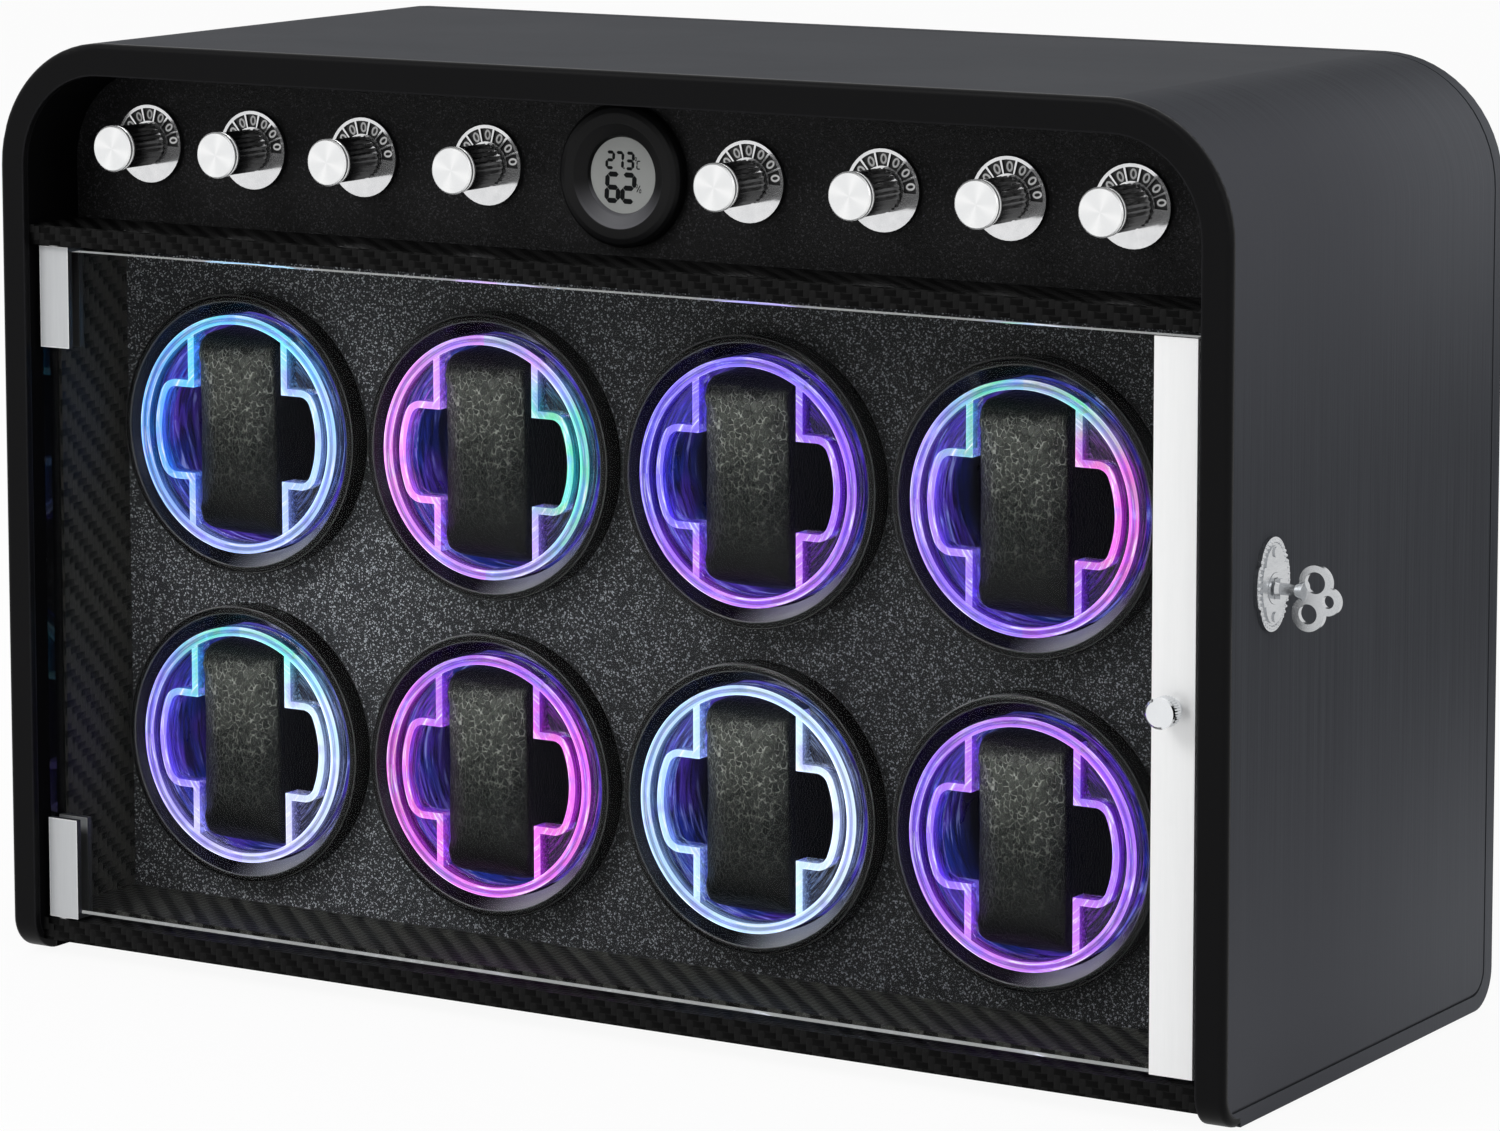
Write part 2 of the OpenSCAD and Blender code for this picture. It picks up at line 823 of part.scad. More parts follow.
module hygrometer_screen() {
    color("#aeb6b4")
    rod_y(0, meter_y + window_in, meter_z, window_d / 2 - 0.05, 2.4);
}

module power_jack() {
    color("#1a1a1c")
    difference() {
        union() {
            rod_y(jack_at, ledge_y - 12, jack_z, jack_r, back_t + 12.5);
            rod_y(jack_at, ledge_y + back_t, jack_z, jack_r + 1.2, 1.6);
            rod_y(jack_at, ledge_y - 3, jack_z, jack_r + 2.6, 3);
        }
        difference() {
            rod_y(jack_at, ledge_y - 6, jack_z, 2.75, back_t + through);
            rod_y(jack_at, ledge_y - 7, jack_z, 1, back_t + 7);
        }
    }
}

foot_at = [for (i = [-1, 1], j = [-1, 1]) [i * (in_x - foot_in_x), j * (body_d / 2 - foot_in_y)]];

module feet() {
    color("#1b1b1b")
    for (p = foot_at)
        translate([p[0], p[1], 0])
        difference() {
            union() {
                cylinder(r = foot_d / 2, h = base_z);
                translate([0, 0, base_z - eps])
                cylinder(r = screw_r - 0.05, h = 3.6);
            }
        }
}

module door_glass() {
    color([0.7, 0.8, 0.85, 0.35])
    box_to([glass_x1, glass_y, glass_z1], [strip_x2 - strip_web, glass_back, glass_z2]);
}

// One clamp: two plates joined over the glass's edge. The lower one has the edge at its foot.
module clamp(z_edge, z_glass, z_far) {
    up = z_edge > z_glass ? 1 : -1;
    difference() {
        union() {
            box_to([clamp_x1, glass_y - plate_t, min(z_edge, z_far)],
                [clamp_x1 + clamp_w, glass_y, max(z_edge, z_far)]);
            box_to([clamp_x1, glass_back, min(z_edge, z_far)],
                [clamp_x1 + clamp_w, glass_back + plate_t, max(z_edge, z_far)]);
            box_to([clamp_x1, glass_y - eps, min(z_edge, z_glass)],
                [clamp_x1 + clamp_w, glass_back + eps, max(z_edge, z_glass)]);
            translate([pivot_x, pivot_y, z_edge - (up > 0 ? 0.5 : pivot_len)])
            cylinder(r = pivot_d / 2, h = pivot_len + 0.5);
            translate([pivot_x, pivot_y, z_edge - (up > 0 ? 0.5 : 0.45)])
            cylinder(r = pivot_d / 2 + 1.1, h = 0.95);
        }
        for (k = [0.36, 0.74])
            rod_y(clamp_x1 + clamp_w / 2, glass_back + plate_t - 0.8, z_edge - up * k * clamp_h, 1.6, 2);
    }
}

module hinge_clamps() {
    color("#e2e4e6") {
        clamp(clamp_z2, glass_z2, clamp_z2 - clamp_h);
        clamp(clamp_z1, glass_z1, clamp_z1 + clamp_h);
    }
}

module handle_strip() {
    color("#e6e8ea")
    difference() {
        union() {
            box_to([strip_x1, strip_y, glass_z1], [strip_x2, glass_y, glass_z2]);
            box_to([strip_x2 - strip_web, glass_y - eps, glass_z1],
                [strip_x2, glass_back + strip_web, glass_z2]);
            box_to([strip_x1 + 3, glass_back, glass_z1], [strip_x2, glass_back + strip_web, glass_z2]);
        }
        rod_y(pull_x, strip_y - 1, pull_z, 1.5 + 0.1, plate_t + 2);
    }
}

module door_knob() {
    y0 = strip_y - pull_len;
    color("#dcdee1") {
        turned_y(pull_x, y0, pull_z)
        polygon([
            [0, 0],
            [pull_d / 2 - 0.9, 0],
            [pull_d / 2, 0.9],
            [pull_d / 2, 2.2],
            [pull_d / 2 - 0.6, 2.4],
            [pull_d / 2 - 0.6, 2.8],
            [0, 2.8],
        ]);
        translate([pull_x, y0 + 2.8, pull_z])
        rotate([-90, 0, 0])
        linear_extrude(4)
        polygon([for (i = [0:2 * knurl_count - 1])
            (i % 2 == 0 ? pull_d / 2 : pull_d / 2 - 0.45)
                * [cos(i * 180 / knurl_count), sin(i * 180 / knurl_count)]]);
        turned_y(pull_x, y0 + 6.8, pull_z)
        polygon([
            [0, 0],
            [pull_d / 2 - 0.8, 0],
            [pull_d / 2 - 1.8, 1.2],
            [pull_d / 2 - 1.8, pull_len - 6.8],
            [1.5, pull_len - 6.8],
            [1.5, pull_len - 6.8 + plate_t - 0.2],
            [0, pull_len - 6.8 + plate_t - 0.2],
        ]);
    }
}

// The door's catch for the lock's cam: a tongue under the cam with a lip behind it.
module door_strike() {
    y1 = glass_back + strip_web;
    lip_y = lock_y + cam_w / 2 + 1;
    z1 = lock_z - strike_drop - 2;
    color("#c9ccd0") {
        box_to([strike_x, y1, z1 - 9], [strike_x + strike_w, y1 + 2, z1 + 2]);
        box_to([strike_x, y1, z1], [strike_x + strike_w, lip_y + 2, z1 + 2]);
        box_to([strike_x, lip_y, z1], [strike_x + strike_w, lip_y + 2, z1 + 8]);
    }
}

// The two side windows of a light ring as one band whose ends are arcs with rounded corners, grown all round.
module side_windows2d(grow) {
    square([2 * window_corner_x, 2 * (window_half + grow)], center = true);
    for (x = [-1, 1], z = [-1, 1])
        translate([x * window_corner_x, z * window_corner_z])
        circle(window_corner + grow, $fn = fine_fn);
    intersection() {
        circle(window_r + grow);
        for (x = [-2, 2])
            polygon([
                [0, 0],
                [x * window_corner_x, -2 * window_corner_z],
                [x * window_corner_x, 2 * window_corner_z],
            ]);
    }
}

// The upright slot of a light ring, grown to both sides and ended by a circle.
module upright_slot2d(grow, reach) {
    intersection() {
        circle(reach);
        square([2 * (slot_half + grow), 2 * reach], center = true);
    }
}

// The cross-shaped opening of one clear light ring, seen from the front.
module lens_open2d() {
    upright_slot2d(0, rim_in_r);
    side_windows2d(0);
}

// The solid ribs that edge the cross-shaped opening.
module lens_ribs2d() {
    difference() {
        union() {
            upright_slot2d(rib_t, rim_in_r + eps);
            side_windows2d(rib_t);
        }
        lens_open2d();
    }
}

module light_ring(i) {
    p = rotor_at[i];
    color([0.75, 0.85, 1, 0.5])
    translate([p[0], 0, p[1]]) {
        along_y(ring_y, cup_y)
        difference() {
            circle(lens_r);
            circle(rim_in_r);
        }
        along_y(ring_y + 0.4, ring_y + 0.4 + rib_deep)
        lens_ribs2d();
        along_y(ring_y + 0.4 + rib_deep, ring_y + 0.4 + rib_deep + pocket_floor)
        difference() {
            circle(rim_in_r + eps);
            lens_open2d();
        }
    }
}

module cup(i) {
    p = rotor_at[i];
    color("#14163a")
    turned_y(p[0], cup_y, p[1])
    polygon([
        [cup_r, 0],
        [cup_r, cup_depth - 2],
        [cup_r - 2, cup_depth],
        [9, cup_depth],
        [7, cup_depth + 1.6],
        [axle_r, cup_depth + 1.6],
        [axle_r, cup_depth + axle_len],
        [0, cup_depth + axle_len],
        [0, cup_depth - cup_wall],
        [cup_r - cup_wall - 2, cup_depth - cup_wall],
        [cup_r - cup_wall, cup_depth - cup_wall - 2],
        [cup_r - cup_wall, 0],
    ]);
}

// A rectangle with four rounded corners, from its low corner to its high corner.
module round2d(a, b, r) {
    translate([a[0] + r, a[1]])
    square([b[0] - a[0] - 2 * r, b[1] - a[1]]);
    translate([a[0], a[1] + r])
    square([b[0] - a[0], b[1] - a[1] - 2 * r]);
    for (x = [a[0] + r, b[0] - r], y = [a[1] + r, b[1] - r])
        translate([x, y])
        circle(r);
}

module cushion(i) {
    p = rotor_at[i];
    h = cushion_len / 2;
    w = cushion_w / 2;
    y2 = cushion_y + cushion_t;
    color("#1c1c1e")
    translate([p[0], 0, p[1]])
    intersection() {
        along_x(-w, w)
        round2d([cushion_y, -h], [y2, h], 11);
        translate([0, 0, -h])
        linear_extrude(2 * h)
        round2d([-w, cushion_y], [w, y2], 4);
        along_y(cushion_y - 1, y2 + 1)
        circle(h);
    }
}

module speed_knob(i) {
    x = dial_xs[i];
    color("#c8cacd")
    difference() {
        union() {
            turned_y(x, knob_y, dial_z)
            polygon([
                [0, 0],
                [knob_d / 2 - 0.5, 0],
                [knob_d / 2, 0.5],
                [knob_d / 2, 1.5],
                [knob_d / 2 - 0.4, 1.7],
                [knob_d / 2 - 0.4, 2.1],
                [knob_d / 2 - 0.1, 2.3],
                [knob_d / 2 - 0.1, 2.9],
                [grip_r - 0.5, cap_len + 0.4],
                [0, cap_len + 0.4],
            ]);
            translate([x, knob_y + cap_len, dial_z])
            rotate([-90, 0, 0])
            linear_extrude(knob_len - cap_len)
            polygon([for (k = [0:2 * knob_ribs - 1])
                (k % 2 == 0 ? grip_r : grip_r - 0.6)
                    * [cos(k * 180 / knob_ribs), sin(k * 180 / knob_ribs)]]);
        }
        rod_y(x, knob_y + knob_len - skirt_deep, dial_z, skirt_r, skirt_deep + 1);
    }
    color("#8d9094")
    rod_y(x, knob_y + knob_len - skirt_deep - eps, dial_z, shaft_r,
        skirt_deep + knob_gap + dial_t + fascia_t + pot_len - 2.6);
}

module lock_escutcheon() {
    color("#d8dade")
    difference() {
        union() {
            oval_disc(half_w, plate_low, plate_w / 2, plate_h / 2);
            oval_disc(half_w + plate_low - eps, plate_step + eps, plate_w / 2 - 2.6, plate_h / 2 - 2.6);
            for (k = [0:bead_count - 1]) {
                a = k * 360 / bead_count;
                translate([half_w + plate_low - eps, lock_y + (plate_w / 2 - 1.3) * cos(a),
                    plate_z + (plate_h / 2 - 1.3) * sin(a)])
                rotate([0, 90, 0])
                cylinder(r1 = 0.7, r2 = 0.35, h = 0.6, $fn = 16);
            }
            for (s = [-1, 1]) {
                rod_x(half_w + plate_low, lock_y, plate_z + s * nail_off, 1.7, plate_step + 0.5);
                rod_x(half_w - 5, lock_y, plate_z + s * nail_off, 0.7, 6);
            }
        }
        rod_x(half_w - 1, lock_y, lock_z, plug_r + plug_play, through);
    }
}

// An oval plate made of four arcs that meet smoothly, drawn along +X.
module oval_disc(x, t, a, b) {
    r_end = a * a / b;
    big = (a * a + b * b - 2 * b * r_end) / (2 * (a - r_end));
    translate([x, lock_y, plate_z])
    rotate([90, 0, 90])
    linear_extrude(t) {
        intersection() {
            translate([a - big, 0])
            circle(big, $fn = 160);
            translate([big - a, 0])
            circle(big, $fn = 160);
            translate([-a, r_end - b])
            square([2 * a, 2 * (b - r_end)]);
        }
        for (s = [-1, 1])
            translate([0, s * (b - r_end)])
            circle(r_end);
    }
}

module lock_barrel() {
    color("#b9bcc0")
    difference() {
        union() {
            rod_x(barrel_end, lock_y, lock_z, barrel_r, half_w - barrel_end);
            rod_x(half_w - flange_t, lock_y, lock_z, flange_r, flange_t);
            translate([in_x - barrel_nut_t, lock_y, lock_z])
            rotate([0, 90, 0])
            cylinder(r = nut_af / 2 / cos(30), h = barrel_nut_t, $fn = 6);
        }
        rod_x(barrel_end - 1, lock_y, lock_z, plug_r + plug_play, half_w + through - barrel_end);
    }
}

module lock_plug() {
    x_face = plug_face;
    color("#d0d3d6")
    difference() {
        union() {
            rod_x(cam_x + cam_t - eps, lock_y, lock_z, plug_r, x_face - cam_x - cam_t);
            rod_x(cam_x, lock_y, lock_z, plug_r, cam_t);
            box_to([cam_x, lock_y - cam_reach + cam_w / 2, lock_z - cam_w / 2],
                [cam_x + cam_t, lock_y, lock_z + cam_w / 2]);
            rod_x(cam_x, lock_y - cam_reach + cam_w / 2, lock_z, cam_w / 2, cam_t);
            rod_x(cam_x - 1.4, lock_y, lock_z, 3.2, 1.4 + eps);
        }
        box_to([x_face - blade_len - 1, lock_y - blade_t / 2 - slot_play, lock_z - blade_h / 2 - slot_play],
            [x_face + 1, lock_y + blade_t / 2 + slot_play, lock_z + blade_h / 2 + slot_play]);
    }
}

// The key's bow seen from the side: three round lobes with a hole in each.
module bow2d() {
    r1 = bow_h * 0.262;
    off = bow_h / 2 - r1;
    difference() {
        union() {
            translate([0.4, off])
            circle(r1);
            translate([-2.1, -off])
            circle(r1);
            translate([4.6, -0.6])
            circle(r1 * 0.8);
            translate([-4.6, -off * 0.8])
            square([6, off * 1.6]);
        }
        translate([0.4, off])
        circle(r1 * 0.62);
        translate([-2.1, -off])
        circle(r1 * 0.57);
        translate([4.9, -0.6])
        circle(r1 * 0.37);
    }
}

module key() {
    x_face = plug_face;
    color("#d4d6d9") {
        difference() {
            box_to([x_face - blade_len, lock_y - blade_t / 2, lock_z - blade_h / 2],
                [x_face + 2, lock_y + blade_t / 2, lock_z + blade_h / 2]);
            for (k = [0:3])
                translate([x_face - blade_len + 3 + k * 3.2, lock_y - 2, lock_z + blade_h / 2])
                rotate([0, 45, 0])
                cube([1.2 + 0.3 * (k % 2), 4, 1.2 + 0.3 * (k % 2)]);
        }
        translate([x_face + 0.6, lock_y, lock_z])
        rotate([0, 90, 0])
        cylinder(r1 = 2.6, r2 = 2.2, h = 1.4);
        rod_x(x_face + 1.9, lock_y, lock_z, 1.9, bow_x - 4 - x_face - 1.9);
        translate([bow_x - collar_in, lock_y, lock_z])
        rotate([0, 90, 0])
        cylinder(r1 = 1.9, r2 = 3.4, h = collar_len);
        translate([bow_x, lock_y + bow_t / 2, lock_z - 2])
        rotate([90, 0, 0])
        linear_extrude(bow_t)
        bow2d();
    }
}

static_nodes = ["cabinet_shell", "front_bezel", "base_board", "divider_rail", "control_panel",
    "rotor_panel", "bay_lining", "rotor_rings", "back_panel", "back_screws", "gear_motors",
    "light_boards", "control_board", "potentiometers", "dial_plates", "hygrometer_housing",
    "hygrometer_screen", "power_jack", "feet", "lock_escutcheon", "lock_barrel"];
moving_nodes = ["door_glass", "hinge_clamps", "handle_strip", "door_knob", "door_strike",
    "lock_plug", "key"];

cabinet_shell();
front_bezel();
base_board();
divider_rail();
control_panel();
rotor_panel();
bay_lining();
rotor_rings();
back_panel();
back_screws();
gear_motors();
light_boards();
control_board();
potentiometers();
dial_plates();
hygrometer_housing();
hygrometer_screen();
power_jack();
feet();
lock_escutcheon();
lock_barrel();
door_glass();
hinge_clamps();
handle_strip();
door_knob();
door_strike();
lock_plug();
key();
for (i = [1:8]) {
    cup(i - 1);
    light_ring(i - 1);
    cushion(i - 1);
    speed_knob(i - 1);
}
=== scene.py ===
# %% [markdown]
# # Dressing a watch winder cabinet
# This cabinet keeps eight wristwatches turning behind a locked glass door. Its solid parts were drawn
# first, in millimetres, and packed into a frame that this script loads. Here each part gets its finish,
# and the soft and printed pieces that solids can't show are modelled on top of them.
# Everything below is in metres and stands where the frame says.

# %% Load the solid parts
import math

import bmesh
import bpy
from mathutils import Matrix, Vector


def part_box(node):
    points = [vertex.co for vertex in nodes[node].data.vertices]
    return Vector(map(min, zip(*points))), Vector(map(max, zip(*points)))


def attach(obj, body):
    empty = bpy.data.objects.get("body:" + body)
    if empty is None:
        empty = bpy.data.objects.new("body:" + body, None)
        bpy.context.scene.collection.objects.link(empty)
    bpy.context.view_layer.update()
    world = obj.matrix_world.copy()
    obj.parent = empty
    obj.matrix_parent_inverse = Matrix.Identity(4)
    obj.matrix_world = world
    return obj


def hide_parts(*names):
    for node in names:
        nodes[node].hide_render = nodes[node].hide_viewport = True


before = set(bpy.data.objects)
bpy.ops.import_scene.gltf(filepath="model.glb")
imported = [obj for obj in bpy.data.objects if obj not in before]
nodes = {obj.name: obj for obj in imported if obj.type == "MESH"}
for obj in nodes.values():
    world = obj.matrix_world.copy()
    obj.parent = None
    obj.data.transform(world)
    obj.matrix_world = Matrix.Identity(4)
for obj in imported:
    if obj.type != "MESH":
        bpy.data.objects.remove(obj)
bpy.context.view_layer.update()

# %% [markdown]
# ## The camera
# A long lens keeps the cabinet's edges nearly parallel, as in a catalogue. The camera stands to the
# right of the front and looks a little down. A small vertical shift keeps the uprights upright, as
# a view camera with a rising back does, so the lens itself needs less tilt.

# %% Place the camera
MM = 0.001
yaw, pitch, roll = 0.5517, 0.1282, 0.0012
standpoint = (1.061189, -1.715591, 0.492950)


def link_new(name, data):
    """A new object with this data, linked to the scene."""
    linked = bpy.data.objects.new(name, data)
    bpy.context.scene.collection.objects.link(linked)
    return linked


level = math.cos(pitch)
forward = Vector((-math.sin(yaw) * level, math.cos(yaw) * level, -math.sin(pitch)))
right = Vector((math.cos(yaw), math.sin(yaw), 0))
up = right.cross(forward)
turned = Matrix.Rotation(roll, 3, forward)
camera_data = bpy.data.cameras.new("camera")
camera_data.sensor_width = 36
camera_data.lens = 142.49
camera_data.shift_y = -0.1667
camera_data.clip_start = 0.05
camera = link_new("camera", camera_data)
axes = Matrix((turned @ right, turned @ up, -forward)).transposed()
camera.matrix_world = Matrix.Translation(standpoint) @ axes.to_4x4()
bpy.context.scene.camera = camera
bpy.context.scene.view_settings.view_transform = "Standard"
print("camera at", [round(v, 3) for v in camera.location], "lens", camera_data.lens)

# %% [markdown]
# ## Helpers for node trees
# Every finish is a small program made of nodes. Writing it out node by node is long, so short helpers
# keep it readable: `put` sets a socket or links it, `calc` is one step of arithmetic, and `tint` mixes
# two colours. Colours are written as the hex codes a painter would pick on a screen, and `paint` turns
# them into the linear numbers that Blender computes with.

# %% Helpers: sockets, arithmetic and colours
def paint(code):
    """The linear colour of a hex code."""
    parts = [int(code[i:i + 2], 16) / 255 for i in (1, 3, 5)]
    linear = [p / 12.92 if p <= 0.04045 else ((p + 0.055) / 1.055) ** 2.4 for p in parts]
    return (*linear, 1.0)


def put(tree, socket, value):
    """Link the socket to another socket, or give it a plain value or the colour of a hex code."""
    if isinstance(value, bpy.types.NodeSocket):
        tree.links.new(value, socket)
    else:
        socket.default_value = paint(value) if isinstance(value, str) else value


def add(tree, kind, values=(), **settings):
    """Add a shader node, set its options, and fill its inputs by name or number."""
    node = tree.nodes.new("ShaderNode" + kind)
    for name, setting in settings.items():
        setattr(node, name, setting)
    for key, value in dict(values).items():
        put(tree, node.inputs[key], value)
    return node


def calc(tree, operation, *values, clamp=False):
    """One step of arithmetic on numbers or sockets."""
    return add(tree, "Math", enumerate(values), operation=operation, use_clamp=clamp).outputs[0]


def sloped(tree, value, slope, start, clamp=False):
    """The value times a slope, plus a start."""
    return calc(tree, "MULTIPLY_ADD", value, slope, start, clamp=clamp)


def times(tree, value, *factors):
    """Multiply a value by one factor after another."""
    for factor in factors:
        value = calc(tree, "MULTIPLY", value, factor)
    return value


def reach_of(tree, first, second):
    """The length of the way that goes first one way and then second at a right angle."""
    squares = calc(tree, "ADD", times(tree, first, first), times(tree, second, second))
    return calc(tree, "SQRT", squares)


def tint(tree, share, first, second):
    """Mix two colours by share, from 0, all first, to 1, all second."""
    return add(tree, "Mix", {0: share, 6: first, 7: second}, data_type="RGBA").outputs[2]


def span(tree, value, low, high, to_low=0.0, to_high=1.0):
    """Rescale a value smoothly from one range to another, held at the ends."""
    ranges = enumerate((value, low, high, to_low, to_high))
    return add(tree, "MapRange", ranges, interpolation_type="SMOOTHSTEP").outputs[0]


print("a mid grey in linear light:", [round(v, 3) for v in paint("#808080")[:3]])

# %% [markdown]
# The second set of helpers works on vectors and textures. A vector here is a place on the part or the
# way that a face points. The noise texture is the one used most: it gives soft random clouds, and its
# scale decides whether they look like haze or like dust.

# %% Helpers: vectors and textures
def vector(tree, operation, first, second=None):
    """One step of arithmetic on vectors. SCALE takes a number as its second value."""
    node = add(tree, "VectorMath", {0: first}, operation=operation)
    if second is not None:
        put(tree, node.inputs["Scale" if operation == "SCALE" else 1], second)
    return node.outputs["Value" if operation in ("LENGTH", "DOT_PRODUCT") else "Vector"]


def axes_of(tree, kind="Object"):
    """The part's own x, y and z, or with "Normal" the way that its face points."""
    return add(tree, "SeparateXYZ", {0: add(tree, "TexCoord").outputs[kind]}).outputs


def noise(tree, place, scale, detail, **more):
    """A noise texture's value, from 0 to 1."""
    return add(tree, "TexNoise", {"Vector": place, "Scale": scale, "Detail": detail, **more}).outputs[0]


corner = paint("#ffffff")
print("white stays at", round(corner[0], 3), "with alpha", corner[3])

# %% [markdown]
# Patterns that are needed more than once become node groups, which work like functions: they take
# values, and they give back values. A material starts from one Principled shader, the general-purpose
# surface model. Most finishes then vary its roughness a little, or press a relief into its surface.

# %% Helpers: groups and materials
def new_group(name, inputs, outputs):
    """A node group with named sockets. Inputs are (name, kind, value) and outputs are (name, kind)."""
    tree = bpy.data.node_groups.new(name, "ShaderNodeTree")
    for label, kind, value in inputs:
        socket = tree.interface.new_socket(label, in_out="INPUT", socket_type="NodeSocket" + kind)
        if value is not None:
            socket.default_value = value
    for label, kind in outputs:
        tree.interface.new_socket(label, in_out="OUTPUT", socket_type="NodeSocket" + kind)
    return tree, tree.nodes.new("NodeGroupInput").outputs, tree.nodes.new("NodeGroupOutput").inputs


def use(tree, group, **values):
    """Place a node group in a tree, with its own values."""
    node = add(tree, "Group", node_tree=group)
    for name, value in values.items():
        put(tree, node.inputs[name.replace("_", " ")], value)
    return node.outputs


def find(tree, kind):
    """The first node of a kind."""
    return next(n for n in tree.nodes if n.type == kind)


def new_material(name, **values):
    """A material with one Principled shader, and plain values on the shader's own sockets."""
    material = bpy.data.materials.new(name)
    material.use_nodes = True
    tree = material.node_tree
    shader = find(tree, "BSDF_PRINCIPLED").inputs
    for label, value in values.items():
        put(tree, shader[label.replace("_", " ")], value)
    return material, tree, shader


def cover(tree, shader, colour):
    """Set the base colour."""
    put(tree, shader["Base Color"], colour)


def roughen(tree, shader, value, change, start):
    """A roughness that begins at a start and changes with a value."""
    put(tree, shader["Roughness"], sloped(tree, value, change, start))


def emboss(tree, shader, height, depth, strength):
    """Press a relief of the given depth in metres into the surface."""
    bump = add(tree, "Bump", {"Height": height, "Distance": depth, "Strength": strength})
    put(tree, shader["Normal"], bump.outputs[0])


print("groups so far:", len(bpy.data.node_groups))

# %% [markdown]
# ## Where a pattern sits
# Grain, weave and dust must lie on the part and turn with it, so all patterns read the part's own
# coordinates. For a weave we need two directions in the plane of the face. This group looks at which way
# the face points and picks the two other axes, which works well on a cabinet made of flat boards.

# %% Group: face plane
face_plane, given, made = new_group("face_plane", [], [("Across", "Float"), ("Along", "Float"),
                                                       ("Point", "Vector")])
tree = face_plane
where = add(tree, "TexCoord").outputs
point = vector(tree, "MULTIPLY", where["Object"], (1000, 1000, 1000))
place = add(tree, "SeparateXYZ", {0: point}).outputs
facing = add(tree, "SeparateXYZ", {0: where["Normal"]}).outputs
size = [calc(tree, "ABSOLUTE", facing[i]) for i in range(3)]
faces_x = calc(tree, "GREATER_THAN", size[0], calc(tree, "MAXIMUM", size[1], size[2]))
faces_z = calc(tree, "GREATER_THAN", size[2], calc(tree, "MAXIMUM", size[0], size[1]))
for label, edge_on, axis in (("Across", faces_x, place[0]), ("Along", faces_z, place[2])):
    to_y = calc(tree, "SUBTRACT", place[1], axis)
    put(tree, made[label], sloped(tree, edge_on, to_y, axis))
put(tree, made["Point"], point)


def speckle(tree, scale, detail=3.0):
    """Noise that lies on the part, with its scale in clouds per millimetre."""
    return noise(tree, use(tree, face_plane)["Point"], scale, detail)


print("face plane:", len(face_plane.nodes), "nodes")

# %% [markdown]
# ## Carbon twill
# The base board, the rail under the controls and the walls of the display bay are covered in a carbon
# pattern film. It is a two-by-two twill: each flat tow passes over two others and under two, and each
# row is one step further along, so diagonal ribs appear. The group counts the cells and asks which tow
# is on top. It puts out that mask, the rounded height of the tow, and fine fibres along it.

# %% Group: carbon twill
twill, given, made = new_group("carbon_twill", [("Tow", "Float", 2.6)],
                               [("Upright", "Float"), ("Height", "Float"), ("Fibre", "Float")])
tree = twill
flat = use(tree, face_plane)
across, along = [calc(tree, "DIVIDE", flat[label], given["Tow"]) for label in ("Across", "Along")]
column, row = calc(tree, "FLOOR", across), calc(tree, "FLOOR", along)
in_x, in_z = calc(tree, "FRACT", across), calc(tree, "FRACT", along)
step = calc(tree, "FLOORED_MODULO", calc(tree, "ADD", column, row), 4)
upright = calc(tree, "LESS_THAN", step, 1.5)
lying = calc(tree, "SUBTRACT", 1, upright)
travel_up = times(tree, calc(tree, "ADD", step, in_z), 0.5)
travel_side = times(tree, calc(tree, "ADD", calc(tree, "SUBTRACT", step, 2), in_x), 0.5)
travel = calc(tree, "ADD", times(tree, upright, travel_up), times(tree, lying, travel_side))
side = calc(tree, "ADD", times(tree, upright, in_x), times(tree, lying, in_z))
arch = calc(tree, "POWER", calc(tree, "SINE", times(tree, travel, math.pi)), 0.6)
round_top = calc(tree, "POWER", calc(tree, "SINE", times(tree, side, math.pi)), 0.4)
put(tree, made["Upright"], upright)
put(tree, made["Height"], times(tree, arch, round_top))
shift = sloped(tree, column, 3.7, times(tree, row, 1.9))
strand = add(tree, "CombineXYZ", {0: times(tree, side, 9), 1: times(tree, travel, 0.7), 2: shift})
put(tree, made["Fibre"], noise(tree, strand.outputs[0], 1.0, 2.0))
print("carbon twill:", len(twill.nodes), "nodes")

# %% [markdown]
# ## Pebbled grain
# The control panel, the rotor panel and the cushions are covered in grained vinyl and leather. A real
# hide is a pavement of small domes with creases between them. A Voronoi texture gives the domes: its
# distance to the nearest edge is the crease, and a slow noise bends the cells so that they don't look
# like a net.

# %% Group: pebbled grain
pebbles, given, made = new_group(
    "pebbled_grain",
    [("Size", "Float", 1.2), ("Bend", "Float", 0.4), ("Stretch", "Vector", (1, 1, 1))],
    [("Height", "Float"), ("Crease", "Float"), ("Tone", "Float")])
tree = pebbles
shaped = vector(tree, "MULTIPLY", use(tree, face_plane)["Point"], given["Stretch"])
scaled = vector(tree, "SCALE", shaped, calc(tree, "DIVIDE", 1, given["Size"]))
bend = add(tree, "TexNoise", {"Vector": scaled, "Scale": 0.7, "Detail": 2.0}).outputs["Color"]
warped = vector(tree, "ADD", scaled, vector(tree, "SCALE", bend, given["Bend"]))
cells = {"Vector": warped, "Scale": 1.0}
edge = add(tree, "TexVoronoi", cells, feature="DISTANCE_TO_EDGE").outputs["Distance"]
spot = add(tree, "TexVoronoi", cells, feature="F1").outputs["Color"]
crease = span(tree, edge, 0.0, 0.16, 1.0, 0.0)
dome = calc(tree, "SUBTRACT", 1, crease)
put(tree, made["Height"], sloped(tree, noise(tree, scaled, 5.0, 2.0), 0.15, dome))
put(tree, made["Crease"], crease)
put(tree, made["Tone"], add(tree, "SeparateColor", {0: spot}).outputs[0])
print("pebbled grain:", len(pebbles.nodes), "nodes")

# %% [markdown]
# ## Brushed lines
# The outside wrap, the strip on the door and the lock have a brushed look: thousands of hair-fine
# scratches that all run one way. A noise that is squeezed across the lines and stretched along them
# looks the same. The material gives the squeeze as a vector, so the wrap's lines can follow the sides up
# and over the top in one piece.

